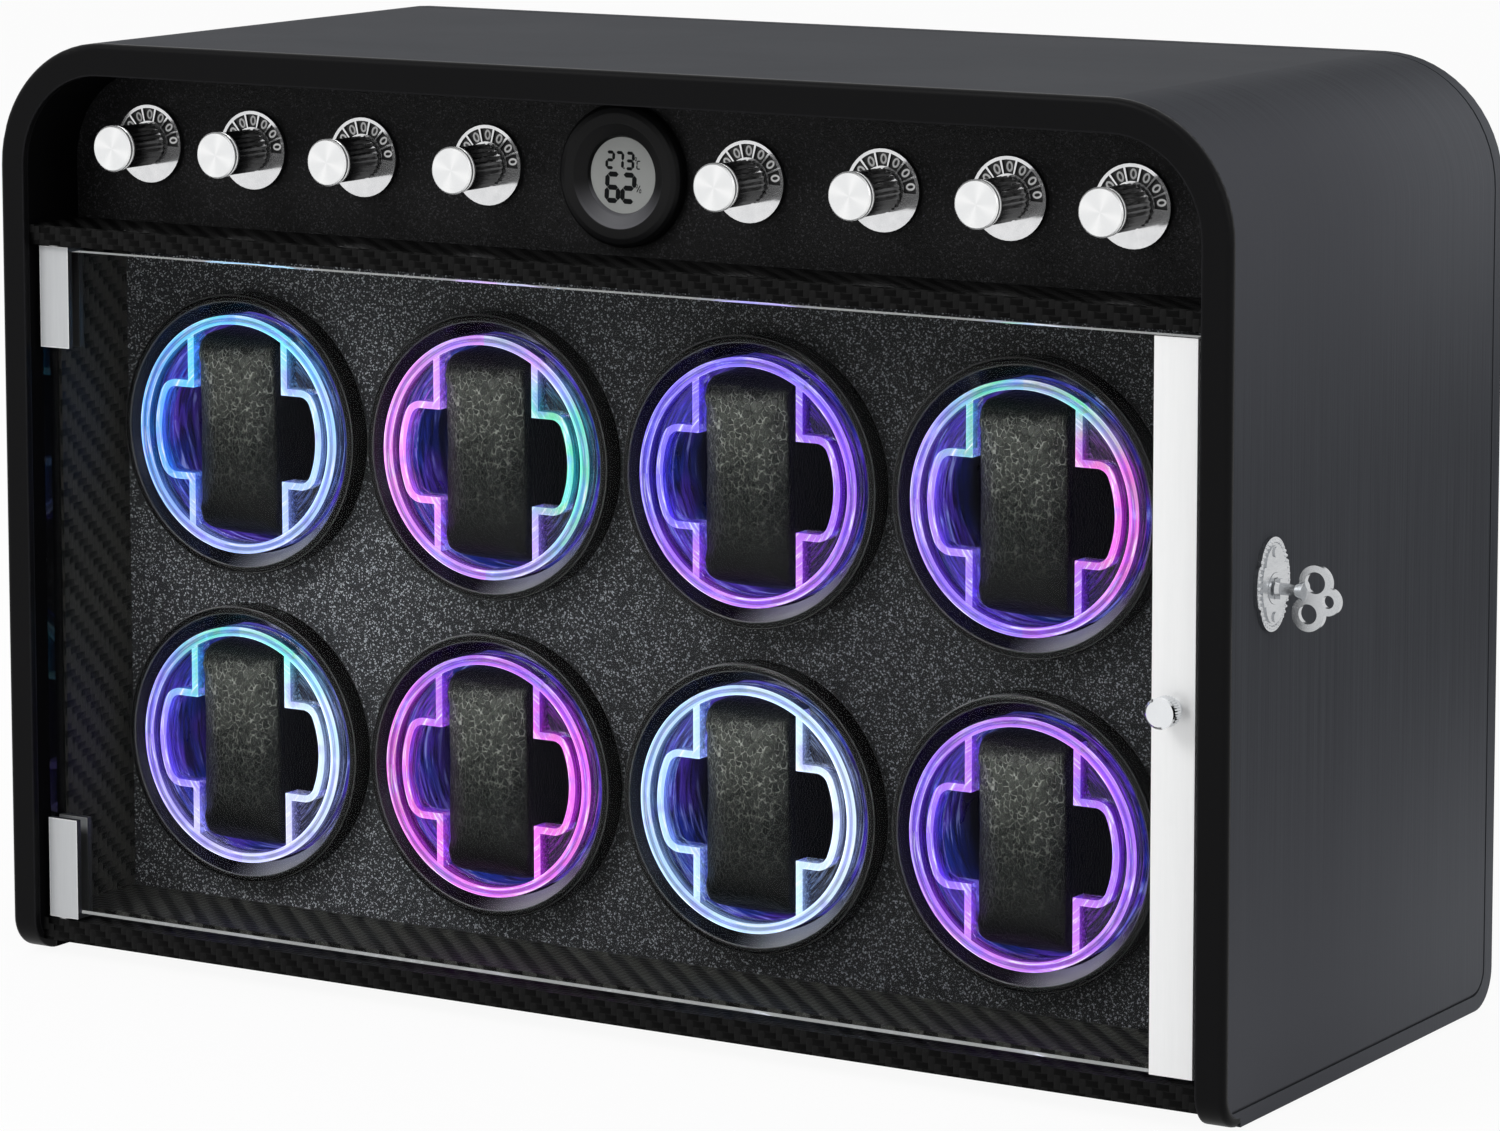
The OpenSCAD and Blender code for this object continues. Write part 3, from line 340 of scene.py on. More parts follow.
# %% Group: brushed lines
brushed, given, made = new_group("brushed_lines", [("Squeeze", "Vector", (1, 1, 1))],
                                 [("Tone", "Float"), ("Height", "Float")])
tree = brushed
drawn = vector(tree, "MULTIPLY", use(tree, face_plane)["Point"], given["Squeeze"])
fine = noise(tree, drawn, 1.0, 3.0, Roughness=0.7)
broad = noise(tree, drawn, 0.21, 1.0)
put(tree, made["Tone"], calc(tree, "ADD", times(tree, fine, 0.65), times(tree, broad, 0.35)))
put(tree, made["Height"], fine)
print("brushed lines:", len(brushed.nodes), "nodes")

# %% [markdown]
# ## Handling marks, dust, worn edges and painted edge highlights
# Three small effects make a surface look used rather than computed. Handling marks change the gloss in
# soft patches. Dust settles on faces that look up. Edges go a little paler and smoother, as wear that
# hands and cloths rub in on some parts and as a painted highlight along the edge on others: the Bevel
# node rounds the shading there, and where the rounded normal differs from the flat one there is an edge.

# %% Groups: marks, dust and edges
marks, given, made = new_group(
    "handling_marks", [("Gloss", "Float", 0.3), ("Spread", "Float", 0.08), ("Size", "Float", 30)],
    [("Roughness", "Float")])
per_mm = calc(marks, "DIVIDE", 1, given["Size"])
patch = noise(marks, use(marks, face_plane)["Point"], per_mm, 4.0, Distortion=0.6)
shift = times(marks, calc(marks, "SUBTRACT", patch, 0.5), 2)
put(marks, made["Roughness"], sloped(marks, shift, given["Spread"], given["Gloss"], clamp=True))

dust, given, made = new_group("settled_dust", [("Amount", "Float", 0.1)], [("Mask", "Float")])
upward = span(dust, axes_of(dust, "Normal")[2], 0.3, 1.0)
specks = span(dust, speckle(dust, 1.7), 0.4, 0.75)
put(dust, made["Mask"], times(dust, upward, specks, given["Amount"]))

wear_and_highlight_edges, given, made = new_group("edge_wear_and_highlight", [("Reach", "Float", 0.001), ("Amount", "Float", 1.0)],
                              [("Mask", "Float"), ("Normal", "Vector")])
soft = add(wear_and_highlight_edges, "Bevel", {"Radius": given["Reach"]}, samples=4).outputs[0]
hard = add(wear_and_highlight_edges, "NewGeometry").outputs["Normal"]
at_edge = span(wear_and_highlight_edges, vector(wear_and_highlight_edges, "DOT_PRODUCT", soft, hard), 0.99, 0.85)
breakup = span(wear_and_highlight_edges, speckle(wear_and_highlight_edges, 0.35, 4.0), 0.2, 0.7, 0.5, 1.0)
put(wear_and_highlight_edges, made["Mask"], times(wear_and_highlight_edges, at_edge, breakup, given["Amount"]))
put(wear_and_highlight_edges, made["Normal"], soft)
print("effects:", [g.name for g in bpy.data.node_groups])

# %% [markdown]
# ## The wrap
# The outside is wrapped in dark brushed film, with lines that run up the sides and across the top. Its
# sides carry a painted sheen towards the floor and towards the top, paler towards the back, a painted
# reflection of a pale room. The inner side of the same board is plain black. The board is a rounded arch,
# so a point is on its outside when it lies far enough from the middle of the arch's corner.

# %% Finish of the wrap
finishes = {}
CORNER_X, CORNER_Z, INNER_RADIUS = 0.196, 0.281, 0.0342


def finish(name, **values):
    """Start a finish and file it under its name."""
    finishes[name], tree, shader = new_material(name, **values)
    return tree, shader


tree, shader = finish("wrap", Specular_IOR_Level=0.003)
lines = use(tree, brushed, Squeeze=(0.02, 5.0, 0.02))
place, turn = axes_of(tree), axes_of(tree, "Normal")
film = tint(tree, span(tree, lines["Tone"], 0.3, 0.7), "#35363a", "#424448")
# Painted sheen: side faces are painted paler near the floor and near the top, and paler towards the back,
# a painted reflection of a pale room.
sheen_heights = calc(tree, "MAXIMUM", span(tree, place[2], 0.15, 0.02), span(tree, place[2], 0.19, 0.31))
painted_sheen = times(tree, sheen_heights, span(tree, calc(tree, "ABSOLUTE", turn[0]), 0.3, 0.9))
painted_highlight = tint(tree, span(tree, place[1], -0.06, 0.10), "#4b4c50", "#636569")
film = tint(tree, painted_sheen, film, tint(tree, lines["Tone"], "#44454a", painted_highlight))
past_x = calc(tree, "MAXIMUM", calc(tree, "SUBTRACT", calc(tree, "ABSOLUTE", place[0]), CORNER_X), 0)
past_z = calc(tree, "MAXIMUM", calc(tree, "SUBTRACT", place[2], CORNER_Z), 0)
outside = calc(tree, "GREATER_THAN", reach_of(tree, past_x, past_z), INNER_RADIUS)
cover(tree, shader, tint(tree, outside, "#09090a", film))
handled = use(tree, marks, Gloss=0.36, Spread=0.04, Size=60.0)["Roughness"]
roughen(tree, shader, lines["Tone"], 0.22, handled)
emboss(tree, shader, lines["Height"], 0.00002, 0.6)
print("wrap:", len(tree.nodes), "nodes")

# %% [markdown]
# ## Boards and panels
# Carbon film covers the base, the rail and the lining of the bay, whose weave is a little wider and
# paler. Grained vinyl covers the two panels. Pebbles picked at random by their tone carry a painted glint,
# a painted highlight in their colour. The rotor panel also goes paler towards its left end, a painted
# haze for the light that the door's glass lays over it.

# %% Finishes of boards and panels
for name, width, dark, pale, level in (("carbon", 2.3, "#030303", "#191919", 0.05),
                                       ("carbon_lining", 2.7, "#080808", "#383835", 0.12)):
    tree, shader = finish(name, Specular_IOR_Level=level)
    weave = use(tree, twill, Tow=width)
    tow = tint(tree, weave["Upright"], dark, pale)
    cover(tree, shader, tint(tree, times(tree, weave["Fibre"], 0.5), tow, "#030303"))
    roughen(tree, shader, weave["Upright"], 0.14, 0.36)
    emboss(tree, shader, weave["Height"], 0.00030, 0.9)

for name, dark, pale, painted_highlight, hazed_highlight, haze in (
        ("pebbled", "#040405", "#0b0b0c", "#323234", "#323234", 0.0),
        ("pebbled_dark", "#050507", "#131418", "#7c7e84", "#b4b7bc", 0.42)):
    tree, shader = finish(name, Specular_IOR_Level=0.2)
    grain = use(tree, pebbles, Size=0.46, Bend=0.3)
    # Painted haze towards the left end of the rotor panel, and painted glints on pebbles picked at random
    # by their tone.
    painted_haze = span(tree, axes_of(tree)[0], 0.08, -0.2)
    hide = tint(tree, grain["Crease"], pale, dark)
    hide = tint(tree, times(tree, painted_haze, haze), hide, "#3b3d42")
    painted_glint = span(tree, grain["Tone"], 0.80, 0.95)
    cover(tree, shader, tint(tree, painted_glint, hide, tint(tree, painted_haze, painted_highlight, hazed_highlight)))
    roughen(tree, shader, grain["Crease"], 0.2, 0.36)
    emboss(tree, shader, grain["Height"], 0.00012, 0.9)

tree, shader = finish("black_matte", Specular_IOR_Level=0.3)
fleck = speckle(tree, 2.2, 5.0)
board = tint(tree, fleck, "#121213", "#1f1f21")
cover(tree, shader, tint(tree, use(tree, dust, Amount=0.25)["Mask"], board, "#6d6a64"))
roughen(tree, shader, fleck, 0.25, 0.5)
emboss(tree, shader, fleck, 0.00005, 0.5)
print("board finishes:", sorted(finishes))

# %% [markdown]
# ## Black lacquer
# Three parts are lacquered: the front frame in satin, the rings round the cups in gloss, and the climate
# meter's housing in satin. All have paler, rounded edges: rubbed wear on the frame and the housing,
# painted highlight lines on the gloss rings. The gloss rings also carry a painted highlight on the lower
# part of their inner bevel, and the housing's upward faces on the slope around its screen, where it
# falls like a funnel, carry a painted sheen.

# %% Finishes of the lacquered parts
FUNNEL_RADIUS = 0.0195


def smudge(tree, shader, gloss, spread, size):
    """Let handling marks, of a size in millimetres, vary the roughness around its gloss."""
    handled = use(tree, marks, Gloss=gloss, Spread=spread, Size=size)
    put(tree, shader["Roughness"], handled["Roughness"])


def paint_edge_wear_and_highlight(tree, shader, coat, edge, reach, amount):
    """A coat whose edges go to another colour and are shaded round: rubbed wear on some parts, a painted
    highlight on others.
    """
    worn_and_lit_edge = use(tree, wear_and_highlight_edges, Reach=reach, Amount=amount)
    cover(tree, shader, tint(tree, worn_and_lit_edge["Mask"], coat, edge))
    put(tree, shader["Normal"], worn_and_lit_edge["Normal"])


def centre(box):
    """The middle of a box."""
    return [(low + high) / 2 for low, high in zip(*box)]


tree, shader = finish("black_frame", Specular_IOR_Level=0.05)
paint_edge_wear_and_highlight(tree, shader, "#0e0e0f", "#323235", 0.0012, 0.7)
smudge(tree, shader, 0.38, 0.06, 45.0)

tree, shader = finish("black_gloss", Specular_IOR_Level=0.13)
# Painted highlights: a pale gleam on faces that look up, forward and to the left, and pale lines along the
# edges.
turn = axes_of(tree, "Normal")
painted_gleam = times(tree, span(tree, turn[2], 0.35, 0.75), span(tree, turn[1], -0.25, -0.6),
              span(tree, turn[0], 0.15, -0.35))
paint_edge_wear_and_highlight(tree, shader, tint(tree, painted_gleam, "#060607", "#77777b"), "#8c8c90", 0.0008, 0.9)
smudge(tree, shader, 0.13, 0.05, 18.0)

tree, shader = finish("black_satin", Specular_IOR_Level=0.12)
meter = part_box("hygrometer_screen")
offset = vector(tree, "SUBTRACT", add(tree, "TexCoord").outputs["Object"], centre(meter))
reach = vector(tree, "LENGTH", vector(tree, "MULTIPLY", offset, (1, 0, 1)))
# Painted sheen: the housing's upward faces in the funnel round the screen are painted paler.
painted_funnel_sheen = times(tree, span(tree, axes_of(tree, "Normal")[2], 0.05, 0.6),
               calc(tree, "LESS_THAN", reach, FUNNEL_RADIUS))
paint_edge_wear_and_highlight(tree, shader, tint(tree, painted_funnel_sheen, "#0d0d0e", "#66666a"), "#343436", 0.0008, 0.3)
smudge(tree, shader, 0.42, 0.05, 9.0)
print("cabinet finishes:", sorted(finishes))

# %% [markdown]
# ## Turned metal
# The speed knobs are turned on a lathe: their faces carry fine rings, which spread each highlight into
# two opposite fans. This group measures how far a point is from the knob's middle, and reads a noise
# along that distance only, so every ring has one height all the way round. It also gives a mask by angle
# round the middle, with which the fans of reflection are painted into the cap's colour.

# %% Group: lathe rings
lathe, given, made = new_group("lathe_rings", [("Centre X", "Float", 0.0), ("Centre Z", "Float", 0.0)],
                               [("Groove", "Float"), ("Painted_Fan", "Float")])
tree = lathe
place = axes_of(tree)
off_x = calc(tree, "SUBTRACT", place[0], given["Centre X"])
off_z = calc(tree, "SUBTRACT", place[2], given["Centre Z"])
reach = times(tree, reach_of(tree, off_x, off_z), 9000)
rings = add(tree, "TexNoise", {"W": reach, "Scale": 1.0, "Detail": 2.0}, noise_dimensions="1D")
put(tree, made["Groove"], rings.outputs[0])
twice = times(tree, calc(tree, "ARCTAN2", off_z, off_x), 2)
put(tree, made["Painted_Fan"], calc(tree, "ABSOLUTE", calc(tree, "SINE", calc(tree, "ADD", twice, 0.6))))
print("lathe rings:", len(lathe.nodes), "nodes")

# %% [markdown]
# ## Metals
# The door knob is chromed. The door strip and the hinge clamps are satin metal with painted highlight
# lines along their edges, and the clamps' faces that don't look to the front carry painted shade. The
# lock's parts are polished steel with light scratches. A dial plate is chrome, and whatever lies deeper
# than its face is a dark cell.

# %% Metal finishes
CELL_FLOOR = -0.0712

tree, shader = finish("chrome", Metallic=1.0)
cover(tree, shader, tint(tree, speckle(tree, 0.11), "#d9dbde", "#eceef0"))
smudge(tree, shader, 0.09, 0.04, 12.0)

for name, low, high, sides_unshaded in (("satin", "#eeefef", "#fafafa", 1.0),
                              ("satin_grey", "#b2b4b6", "#c4c6c8", 0.0)):
    tree, shader = finish(name, Metallic=0.2)
    lines = use(tree, brushed, Squeeze=(3.0, 1.0, 0.1))
    # Painted highlight lines along the edges, and for the clamps painted shade on faces that don't look to
    # the front.
    worn_and_lit_edge = use(tree, wear_and_highlight_edges, Reach=0.0008, Amount=1.0)["Mask"]
    plain = tint(tree, worn_and_lit_edge, tint(tree, lines["Tone"], low, high), "#fafafa")
    unshaded_front = calc(tree, "MAXIMUM", span(tree, axes_of(tree, "Normal")[1], -0.5, -0.9), sides_unshaded)
    cover(tree, shader, tint(tree, unshaded_front, "#2b2c2e", plain))
    smudge(tree, shader, 0.34, 0.05, 20.0)

tree, shader = finish("dial_plate")
cell = calc(tree, "GREATER_THAN", axes_of(tree)[1], CELL_FLOOR)
haze = speckle(tree, 0.3)
plate = tint(tree, haze, "#d4d5d7", "#f0f0f1")
cover(tree, shader, tint(tree, cell, plate, "#0e0e10"))
put(tree, shader["Metallic"], sloped(tree, cell, -0.9, 0.9))
roughen(tree, shader, cell, 0.4, sloped(tree, haze, 0.06, 0.08))

tree, shader = finish("steel", Metallic=1.0)
lines = use(tree, brushed, Squeeze=(1.5, 0.4, 1.5))
cover(tree, shader, tint(tree, lines["Tone"], "#a9abae", "#d6d8da"))
roughen(tree, shader, lines["Tone"], 0.2, 0.14)
emboss(tree, shader, lines["Height"], 0.00001, 0.5)

tree, shader = finish("screw_black", Metallic=0.6)
cover(tree, shader, tint(tree, use(tree, dust, Amount=0.2)["Mask"], "#1c1c1e", "#77736c"))
smudge(tree, shader, 0.35, 0.1, 3.0)
print("metal finishes ready:", "chrome" in finishes and "steel" in finishes)

# %% [markdown]
# ## Parts seen from the back or through gaps
# The cups that carry the cushions are dark blue plastic, so the coloured light seems deep. Near its mouth
# a cup also carries a painted glow in blue and violet streaks, painted light for the light that its ring
# throws in. Circuit boards and feet are rarely seen, but each still has its own finish.

# %% Plastic, board, screen and rubber finishes
tree, shader = finish("cup", Specular_IOR_Level=0.2, Emission_Strength=1.0)
cover(tree, shader, tint(tree, use(tree, dust, Amount=0.15)["Mask"], "#0b0c24", "#50506a"))
smudge(tree, shader, 0.3, 0.08, 14.0)
where = add(tree, "TexCoord").outputs["Object"]
swirl = noise(tree, vector(tree, "MULTIPLY", where, (60, 330, 60)), 1.0, 3.0, Distortion=1.2)
hue = noise(tree, where, 45.0, 1.0)
blue = tint(tree, span(tree, hue, 0.42, 0.6), "#1c2c8e", "#4a2fa8")
blue = tint(tree, span(tree, swirl, 0.58, 0.72, 0.0, 0.7), blue, "#9aa4f0")
# Painted glow: streaks near the cup's mouth emit blue and violet, standing in for the light its ring
# throws in.
painted_ring_glow = times(tree, span(tree, axes_of(tree)[1], -0.012, -0.042),
                span(tree, swirl, 0.34, 0.6, 0.12, 1.0))
put(tree, shader["Emission Color"], tint(tree, painted_ring_glow, "#000000", blue))

tree, shader = finish("board", IOR=1.5)
tracks = add(tree, "TexBrick", {"Vector": use(tree, face_plane)["Point"], "Scale": 0.3,
                                "Mortar Size": 0.06}).outputs["Fac"]
cover(tree, shader, tint(tree, tracks, "#0d3b22", "#1d6a3f"))
roughen(tree, shader, tracks, -0.1, 0.42)


def flecked(name, dark, pale, scale, start, detail=3.0, **values):
    """A plain finish whose tone and roughness both follow one fine noise. It gives the noise too."""
    tree, shader = finish(name, **values)
    fleck = speckle(tree, scale, detail)
    cover(tree, shader, tint(tree, fleck, dark, pale))
    roughen(tree, shader, fleck, 0.2, start)
    return tree, shader, fleck


flecked("board_white", "#dcdcd6", "#f2f2ee", 0.8, 0.35, IOR=1.5)
flecked("board_blue", "#15142e", "#3a3650", 0.6, 0.35, Specular_IOR_Level=0.3)
tree, shader, fleck = flecked("rubber", "#141414", "#262624", 3.0, 0.65, detail=4.0, IOR=1.5)
emboss(tree, shader, fleck, 0.0001, 0.5)

tree, shader = finish("screen", Specular_IOR_Level=0.25)
cover(tree, shader, tint(tree, speckle(tree, 0.08, 2.0), "#8c8e8c", "#9c9e9c"))
smudge(tree, shader, 0.22, 0.04, 8.0)
print("finishes so far:", len(finishes))

# %% [markdown]
# ## Glass
# The door is one plate of clear glass. A lamp's light should reach the leather behind it, but path tracing
# finds no way through a refracting plate, so the shader lets lamp rays pass straight through with a
# Transparent shader. Smears that a cloth leaves change the gloss only a little, and the cut upper and
# lower edges carry a faint painted glow, a painted highlight for the light that edges of clear glass
# catch.

# %% Glass finish
def show_instead(tree, share, second):
    """Show a second shader in place of the Principled one, by share."""
    mix = add(tree, "MixShader", {0: share, 1: find(tree, "BSDF_PRINCIPLED").outputs[0],
                                  2: second.outputs[0]})
    put(tree, find(tree, "OUTPUT_MATERIAL").inputs["Surface"], mix.outputs[0])


def let_lamps_through(tree, share):
    """Be clear, by a share, to shadow rays, so that light reaches what is behind."""
    shadow = add(tree, "LightPath").outputs["Is Shadow Ray"]
    show_instead(tree, shadow, add(tree, "BsdfTransparent", {"Color": (share, share, share, 1)}))


tree, shader = finish("glass", Base_Color=(0.97, 0.985, 0.98, 1), Transmission_Weight=1.0, IOR=1.1,
                      Emission_Strength=0.55)
smudge(tree, shader, 0.0, 0.004, 40.0)
# Painted glow: faces that look up or down, the cut upper and lower edges, emit faintly.
edge = calc(tree, "GREATER_THAN", calc(tree, "ABSOLUTE", axes_of(tree, "Normal")[2]), 0.7)
put(tree, shader["Emission Color"], tint(tree, edge, "#000000", "#c6c8c8"))
let_lamps_through(tree, 0.95)
print("glass:", finishes["glass"].name)

# %% [markdown]
# ## Moulded light rings
# Behind each ring sits a board of coloured lights, and the clear moulding carries their light to its front
# edge like a light pipe. So the ring is clear plastic that also glows. The colour changes round the
# ring: the group below blends four colours by the squares of sine and cosine, which always add up to
# one, and lays violet patches over them. The front edges glow most, with a darker line inside the rim,
# and fine radial streaks break up the light in the pockets. Lengths here are in millimetres.

# %% Group: ring light
RING_FRONT, RIM, RIM_START, WALL_END = 51.9, 40.6, 38.9, 41.9
ring_light, given, made = new_group(
    "ring_light",
    [("Centre", "Vector", (0, 0, 0)), ("Top", "Color", None), ("Right", "Color", None),
     ("Bottom", "Color", None), ("Left", "Color", None)],
    [("Colour", "Color"), ("Face", "Float"), ("Wall", "Float"), ("Streak", "Float")])
tree = ring_light
offset = vector(tree, "SUBTRACT", add(tree, "TexCoord").outputs["Object"], given["Centre"])
place = add(tree, "SeparateXYZ", {0: offset}).outputs
square_x, square_z = times(tree, place[0], place[0]), times(tree, place[2], place[2])
square_r = calc(tree, "MAXIMUM", calc(tree, "ADD", square_x, square_z), 1e-9)
radius = times(tree, calc(tree, "SQRT", square_r), 1000)
angle = calc(tree, "ARCTAN2", place[2], place[0])

wander = times(tree, calc(tree, "SUBTRACT", noise(tree, offset, 38.0, 2.0), 0.5), 2.2)
share_x = calc(tree, "ADD", calc(tree, "DIVIDE", square_x, square_r), wander, clamp=True)
sideways = tint(tree, calc(tree, "GREATER_THAN", place[0], 0), given["Left"], given["Right"])
upward = tint(tree, calc(tree, "GREATER_THAN", place[2], 0), given["Bottom"], given["Top"])
violet = span(tree, noise(tree, offset, 75.0, 1.0), 0.58, 0.7, 0.0, 0.5)
put(tree, made["Colour"], tint(tree, violet, tint(tree, share_x, upward, sideways), "#6a4cf0"))

depth = sloped(tree, place[1], 1000, RING_FRONT)
from_rim = calc(tree, "ABSOLUTE", calc(tree, "SUBTRACT", radius, RIM))
lines = times(tree, calc(tree, "GREATER_THAN", radius, RIM_START), span(tree, from_rim, 0.9, 0.4))
lit_face = sloped(tree, lines, -0.45, 1)
put(tree, made["Face"], times(tree, span(tree, depth, 0.9, 0.5), lit_face))
inside = calc(tree, "LESS_THAN", radius, WALL_END)
put(tree, made["Wall"], times(tree, span(tree, depth, 5.8, 0.6), inside))
spokes = add(tree, "CombineXYZ", {0: times(tree, angle, 2.2), 1: times(tree, radius, 1.3),
                                  2: times(tree, depth, 1.1)}).outputs[0]
streaks = noise(tree, spokes, 1.0, 4.0, Roughness=0.7, Distortion=0.5)
put(tree, made["Streak"], span(tree, streaks, 0.5, 0.68))
print("ring light:", len(ring_light.nodes), "nodes")

# %% [markdown]
# Each ring has its own four colours, as if every board of lights were at another point of its programme.
# The front face mixes the colour with white along the streaks. Deeper down it turns towards a dark blue,
# and the parts between face and wall stay clear.

# %% Finish: one clear ring for each rotor
# Top, right, bottom and left colours of each ring, rotors 1 to 8.
ring_colours = [
    ("#48e0f0", "#b8dcfc", "#b8ccfc", "#4cb4f8"),
    ("#d49cf8", "#4fe8b4", "#d08cf8", "#f890f4"),
    ("#8a64f6", "#ac52f4", "#d474f2", "#7656f4"),
    ("#4fe0b0", "#f04fd8", "#9a62f6", "#b07cf4"),
    ("#5cecd0", "#dcf0fc", "#d8d4fc", "#9c80f8"),
    ("#b45cf4", "#f258e2", "#f26cf0", "#e452d4"),
    ("#ccecfc", "#e4f4fc", "#ccecfc", "#bce0fc"),
    ("#cc70f4", "#b45cf4", "#dc7cf4", "#9c58f4"),
]
rotor_x = [-0.17405, -0.06895, 0.03615, 0.14125]
rotor_z = [0.1849, 0.0739]
rotor_at = [(x, 0.0, z) for z in rotor_z for x in rotor_x]
VIVID = 1.4
for number, (middle, colours) in enumerate(zip(rotor_at, ring_colours), 1):
    vivid = [[c ** VIVID for c in paint(code)] for code in colours]
    tree, shader = finish("clear_%d" % number, Base_Color=(0.72, 0.74, 1.0, 1), IOR=1.25,
                          Transmission_Weight=1.0, Emission_Strength=1.0)
    light = use(tree, ring_light, Centre=middle, Top=vivid[0], Right=vivid[1], Bottom=vivid[2],
                Left=vivid[3])
    white_share = sloped(tree, light["Streak"], 0.75, 0.14)
    face = tint(tree, white_share, light["Colour"], "#ffffff")
    deep = tint(tree, 0.45, light["Colour"], "#1418c8")
    low = sloped(tree, light["Wall"], 0.34, times(tree, light["Streak"], 0.45))
    glow = calc(tree, "MAXIMUM", light["Face"], low, clamp=True)
    colour = tint(tree, light["Face"], deep, face)
    put(tree, shader["Emission Color"], tint(tree, glow, "#000000", colour))
    roughen(tree, shader, light["Streak"], 0.14, 0.05)
    let_lamps_through(tree, 0.8)
print("ring finishes:", sum(name.startswith("clear_") for name in finishes))

# %% [markdown]
# ## Dressing the solid parts
# Each solid keeps its shape, and its material slots are filled with the new finishes. One table says which
# part gets which finish.

# %% Assign the finishes
def dress(node, name):
    """Give every material slot of a solid one finish."""
    for slot in nodes[node].material_slots:
        slot.material = finishes[name]


dresses = {
    "cabinet_shell": "wrap", "front_bezel": "black_frame", "base_board": "carbon",
    "divider_rail": "carbon", "control_panel": "pebbled", "rotor_panel": "pebbled_dark",
    "bay_lining": "carbon_lining", "rotor_rings": "black_gloss", "back_panel": "black_matte",
    "back_screws": "screw_black", "gear_motors": "board_white", "light_boards": "board_blue",
    "control_board": "board", "potentiometers": "steel", "dial_plates": "dial_plate",
    "hygrometer_housing": "black_satin", "hygrometer_screen": "screen",
    "power_jack": "black_gloss", "feet": "rubber", "lock_escutcheon": "steel",
    "lock_barrel": "steel", "door_glass": "glass", "hinge_clamps": "satin_grey",
    "handle_strip": "satin", "door_knob": "chrome", "door_strike": "steel",
    "lock_plug": "steel", "key": "steel",
}
for number in range(1, 9):
    dresses["cup_%d" % number] = "cup"
    dresses["light_ring_%d" % number] = "clear_%d" % number
for node, name in dresses.items():
    dress(node, name)
print("dressed:", len(dresses), "of", len(nodes))

# %% [markdown]
# ## Speed knobs
# Each knob is a turned cap on a ribbed grip. The cap is bright, and the grip is dark. One material per
# knob lets the lathe rings stay centred on that knob.

# %% Finish the knobs
dial_x = [x - 0.003 for x in (-0.1935, -0.149, -0.1025, -0.0515, 0.0515, 0.1025, 0.149, 0.1935)]
dial_z = 0.2881
grip_y = -0.0894
for number, x in enumerate(dial_x, 1):
    tree, shader = finish("turned_%d" % number)
    rings = use(tree, lathe, Centre_X=x, Centre_Z=dial_z)
    grip = calc(tree, "GREATER_THAN", axes_of(tree)[1], grip_y)
    cap = tint(tree, rings["Groove"], "#eeefef", "#fbfbfb")
    # Painted reflection: the cap is darkened by angle in a fan pattern, standing in for the fans into
    # which its rings spread a highlight.
    cap = tint(tree, span(tree, rings["Painted_Fan"], 0.0, 1.0, 0.0, 0.35), cap, "#cfd1d3")
    cover(tree, shader, tint(tree, grip, cap, "#0b0b0d"))
    put(tree, shader["Metallic"], sloped(tree, grip, -0.7, 0.7))
    roughen(tree, shader, rings["Groove"], 0.1, 0.16)
    emboss(tree, shader, rings["Groove"], 0.00004, 0.6)
    dress("speed_knob_%d" % number, "turned_%d" % number)
print("knobs turned:", len(dial_x))

# %% [markdown]
# ## Printed dial cells
# Each dial carries a fan of sunk cells at its top, and each cell holds a small printed nought. A nought
# is a flat oval ring that lies just above the cell's floor and stands upright as seen from the shaft.

# %% Print the cells
CELLS, CELL_TURN, CELL_RADIUS = 7, 27, 0.0102
PRINT_DEPTH = 0.00076
NOUGHT = {"wide": 0.0025, "tall": 0.0035, "stroke": 0.0007}


def nought(work, x, y, z, angle, wide, tall, stroke, corners=14):
    """A flat oval ring in the XZ plane whose long axis points along the angle."""
    loops = []
    for inset in (0.0, stroke):
        loop = []
        for k in range(corners):
            turn = 2 * math.pi * k / corners
            a, b = math.cos(turn) * (tall / 2 - inset), math.sin(turn) * (wide / 2 - inset)
            loop.append(work.verts.new((x + a * math.cos(angle) - b * math.sin(angle), y,
                                        z + a * math.sin(angle) + b * math.cos(angle))))
        loops.append(loop)
    for k in range(corners):
        n = (k + 1) % corners
        work.faces.new((loops[0][k], loops[0][n], loops[1][n], loops[1][k]))


def printed(name, work, finish_name):
    """An object made of the faces drawn so far, in one finish."""
    mesh = bpy.data.meshes.new(name)
    bmesh.ops.recalc_face_normals(work, faces=work.faces)
    work.to_mesh(mesh)
    work.free()
    mesh.materials.append(finishes[finish_name])
    return link_new(name, mesh)


flecked("print_white", "#d8d8d8", "#f4f4f4", 2.0, 0.4, Specular_IOR_Level=0.3)
dial_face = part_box("dial_plates")[0][1]
work = bmesh.new()
for x in dial_x:
    for k in range(CELLS):
        angle = math.radians(90 + (k - CELLS // 2) * CELL_TURN)
        nought(work, x + CELL_RADIUS * math.cos(angle), dial_face + PRINT_DEPTH,
               dial_z + CELL_RADIUS * math.sin(angle), angle, **NOUGHT)
noughts = printed("dial_print", work, "print_white")
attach(noughts, "cabinet")
print("printed cells:", CELLS * len(dial_x), "dial face at", round(dial_face, 4))

# %% [markdown]
# ## Watch cushions
# A cushion is a leather sleeve stuffed until it is tight. Its front and back are crowned and its corners
# pull in. Cloth simulation gives that shape: a smaller block is blown up from the inside like a balloon.
# The block is simulated ten times too large, because the solver is tuned for furniture, and then shrunk.

# %% Block for one cushion
cushion_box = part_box("cushion_1")
cushion_size = [high - low for low, high in zip(*cushion_box)]
print("cushion solid in mm:", [round(v * 1000, 1) for v in cushion_size])
GROWN = 10
SLACK_MM = (2.0, 3.0, 3.0)
FACET = 0.016


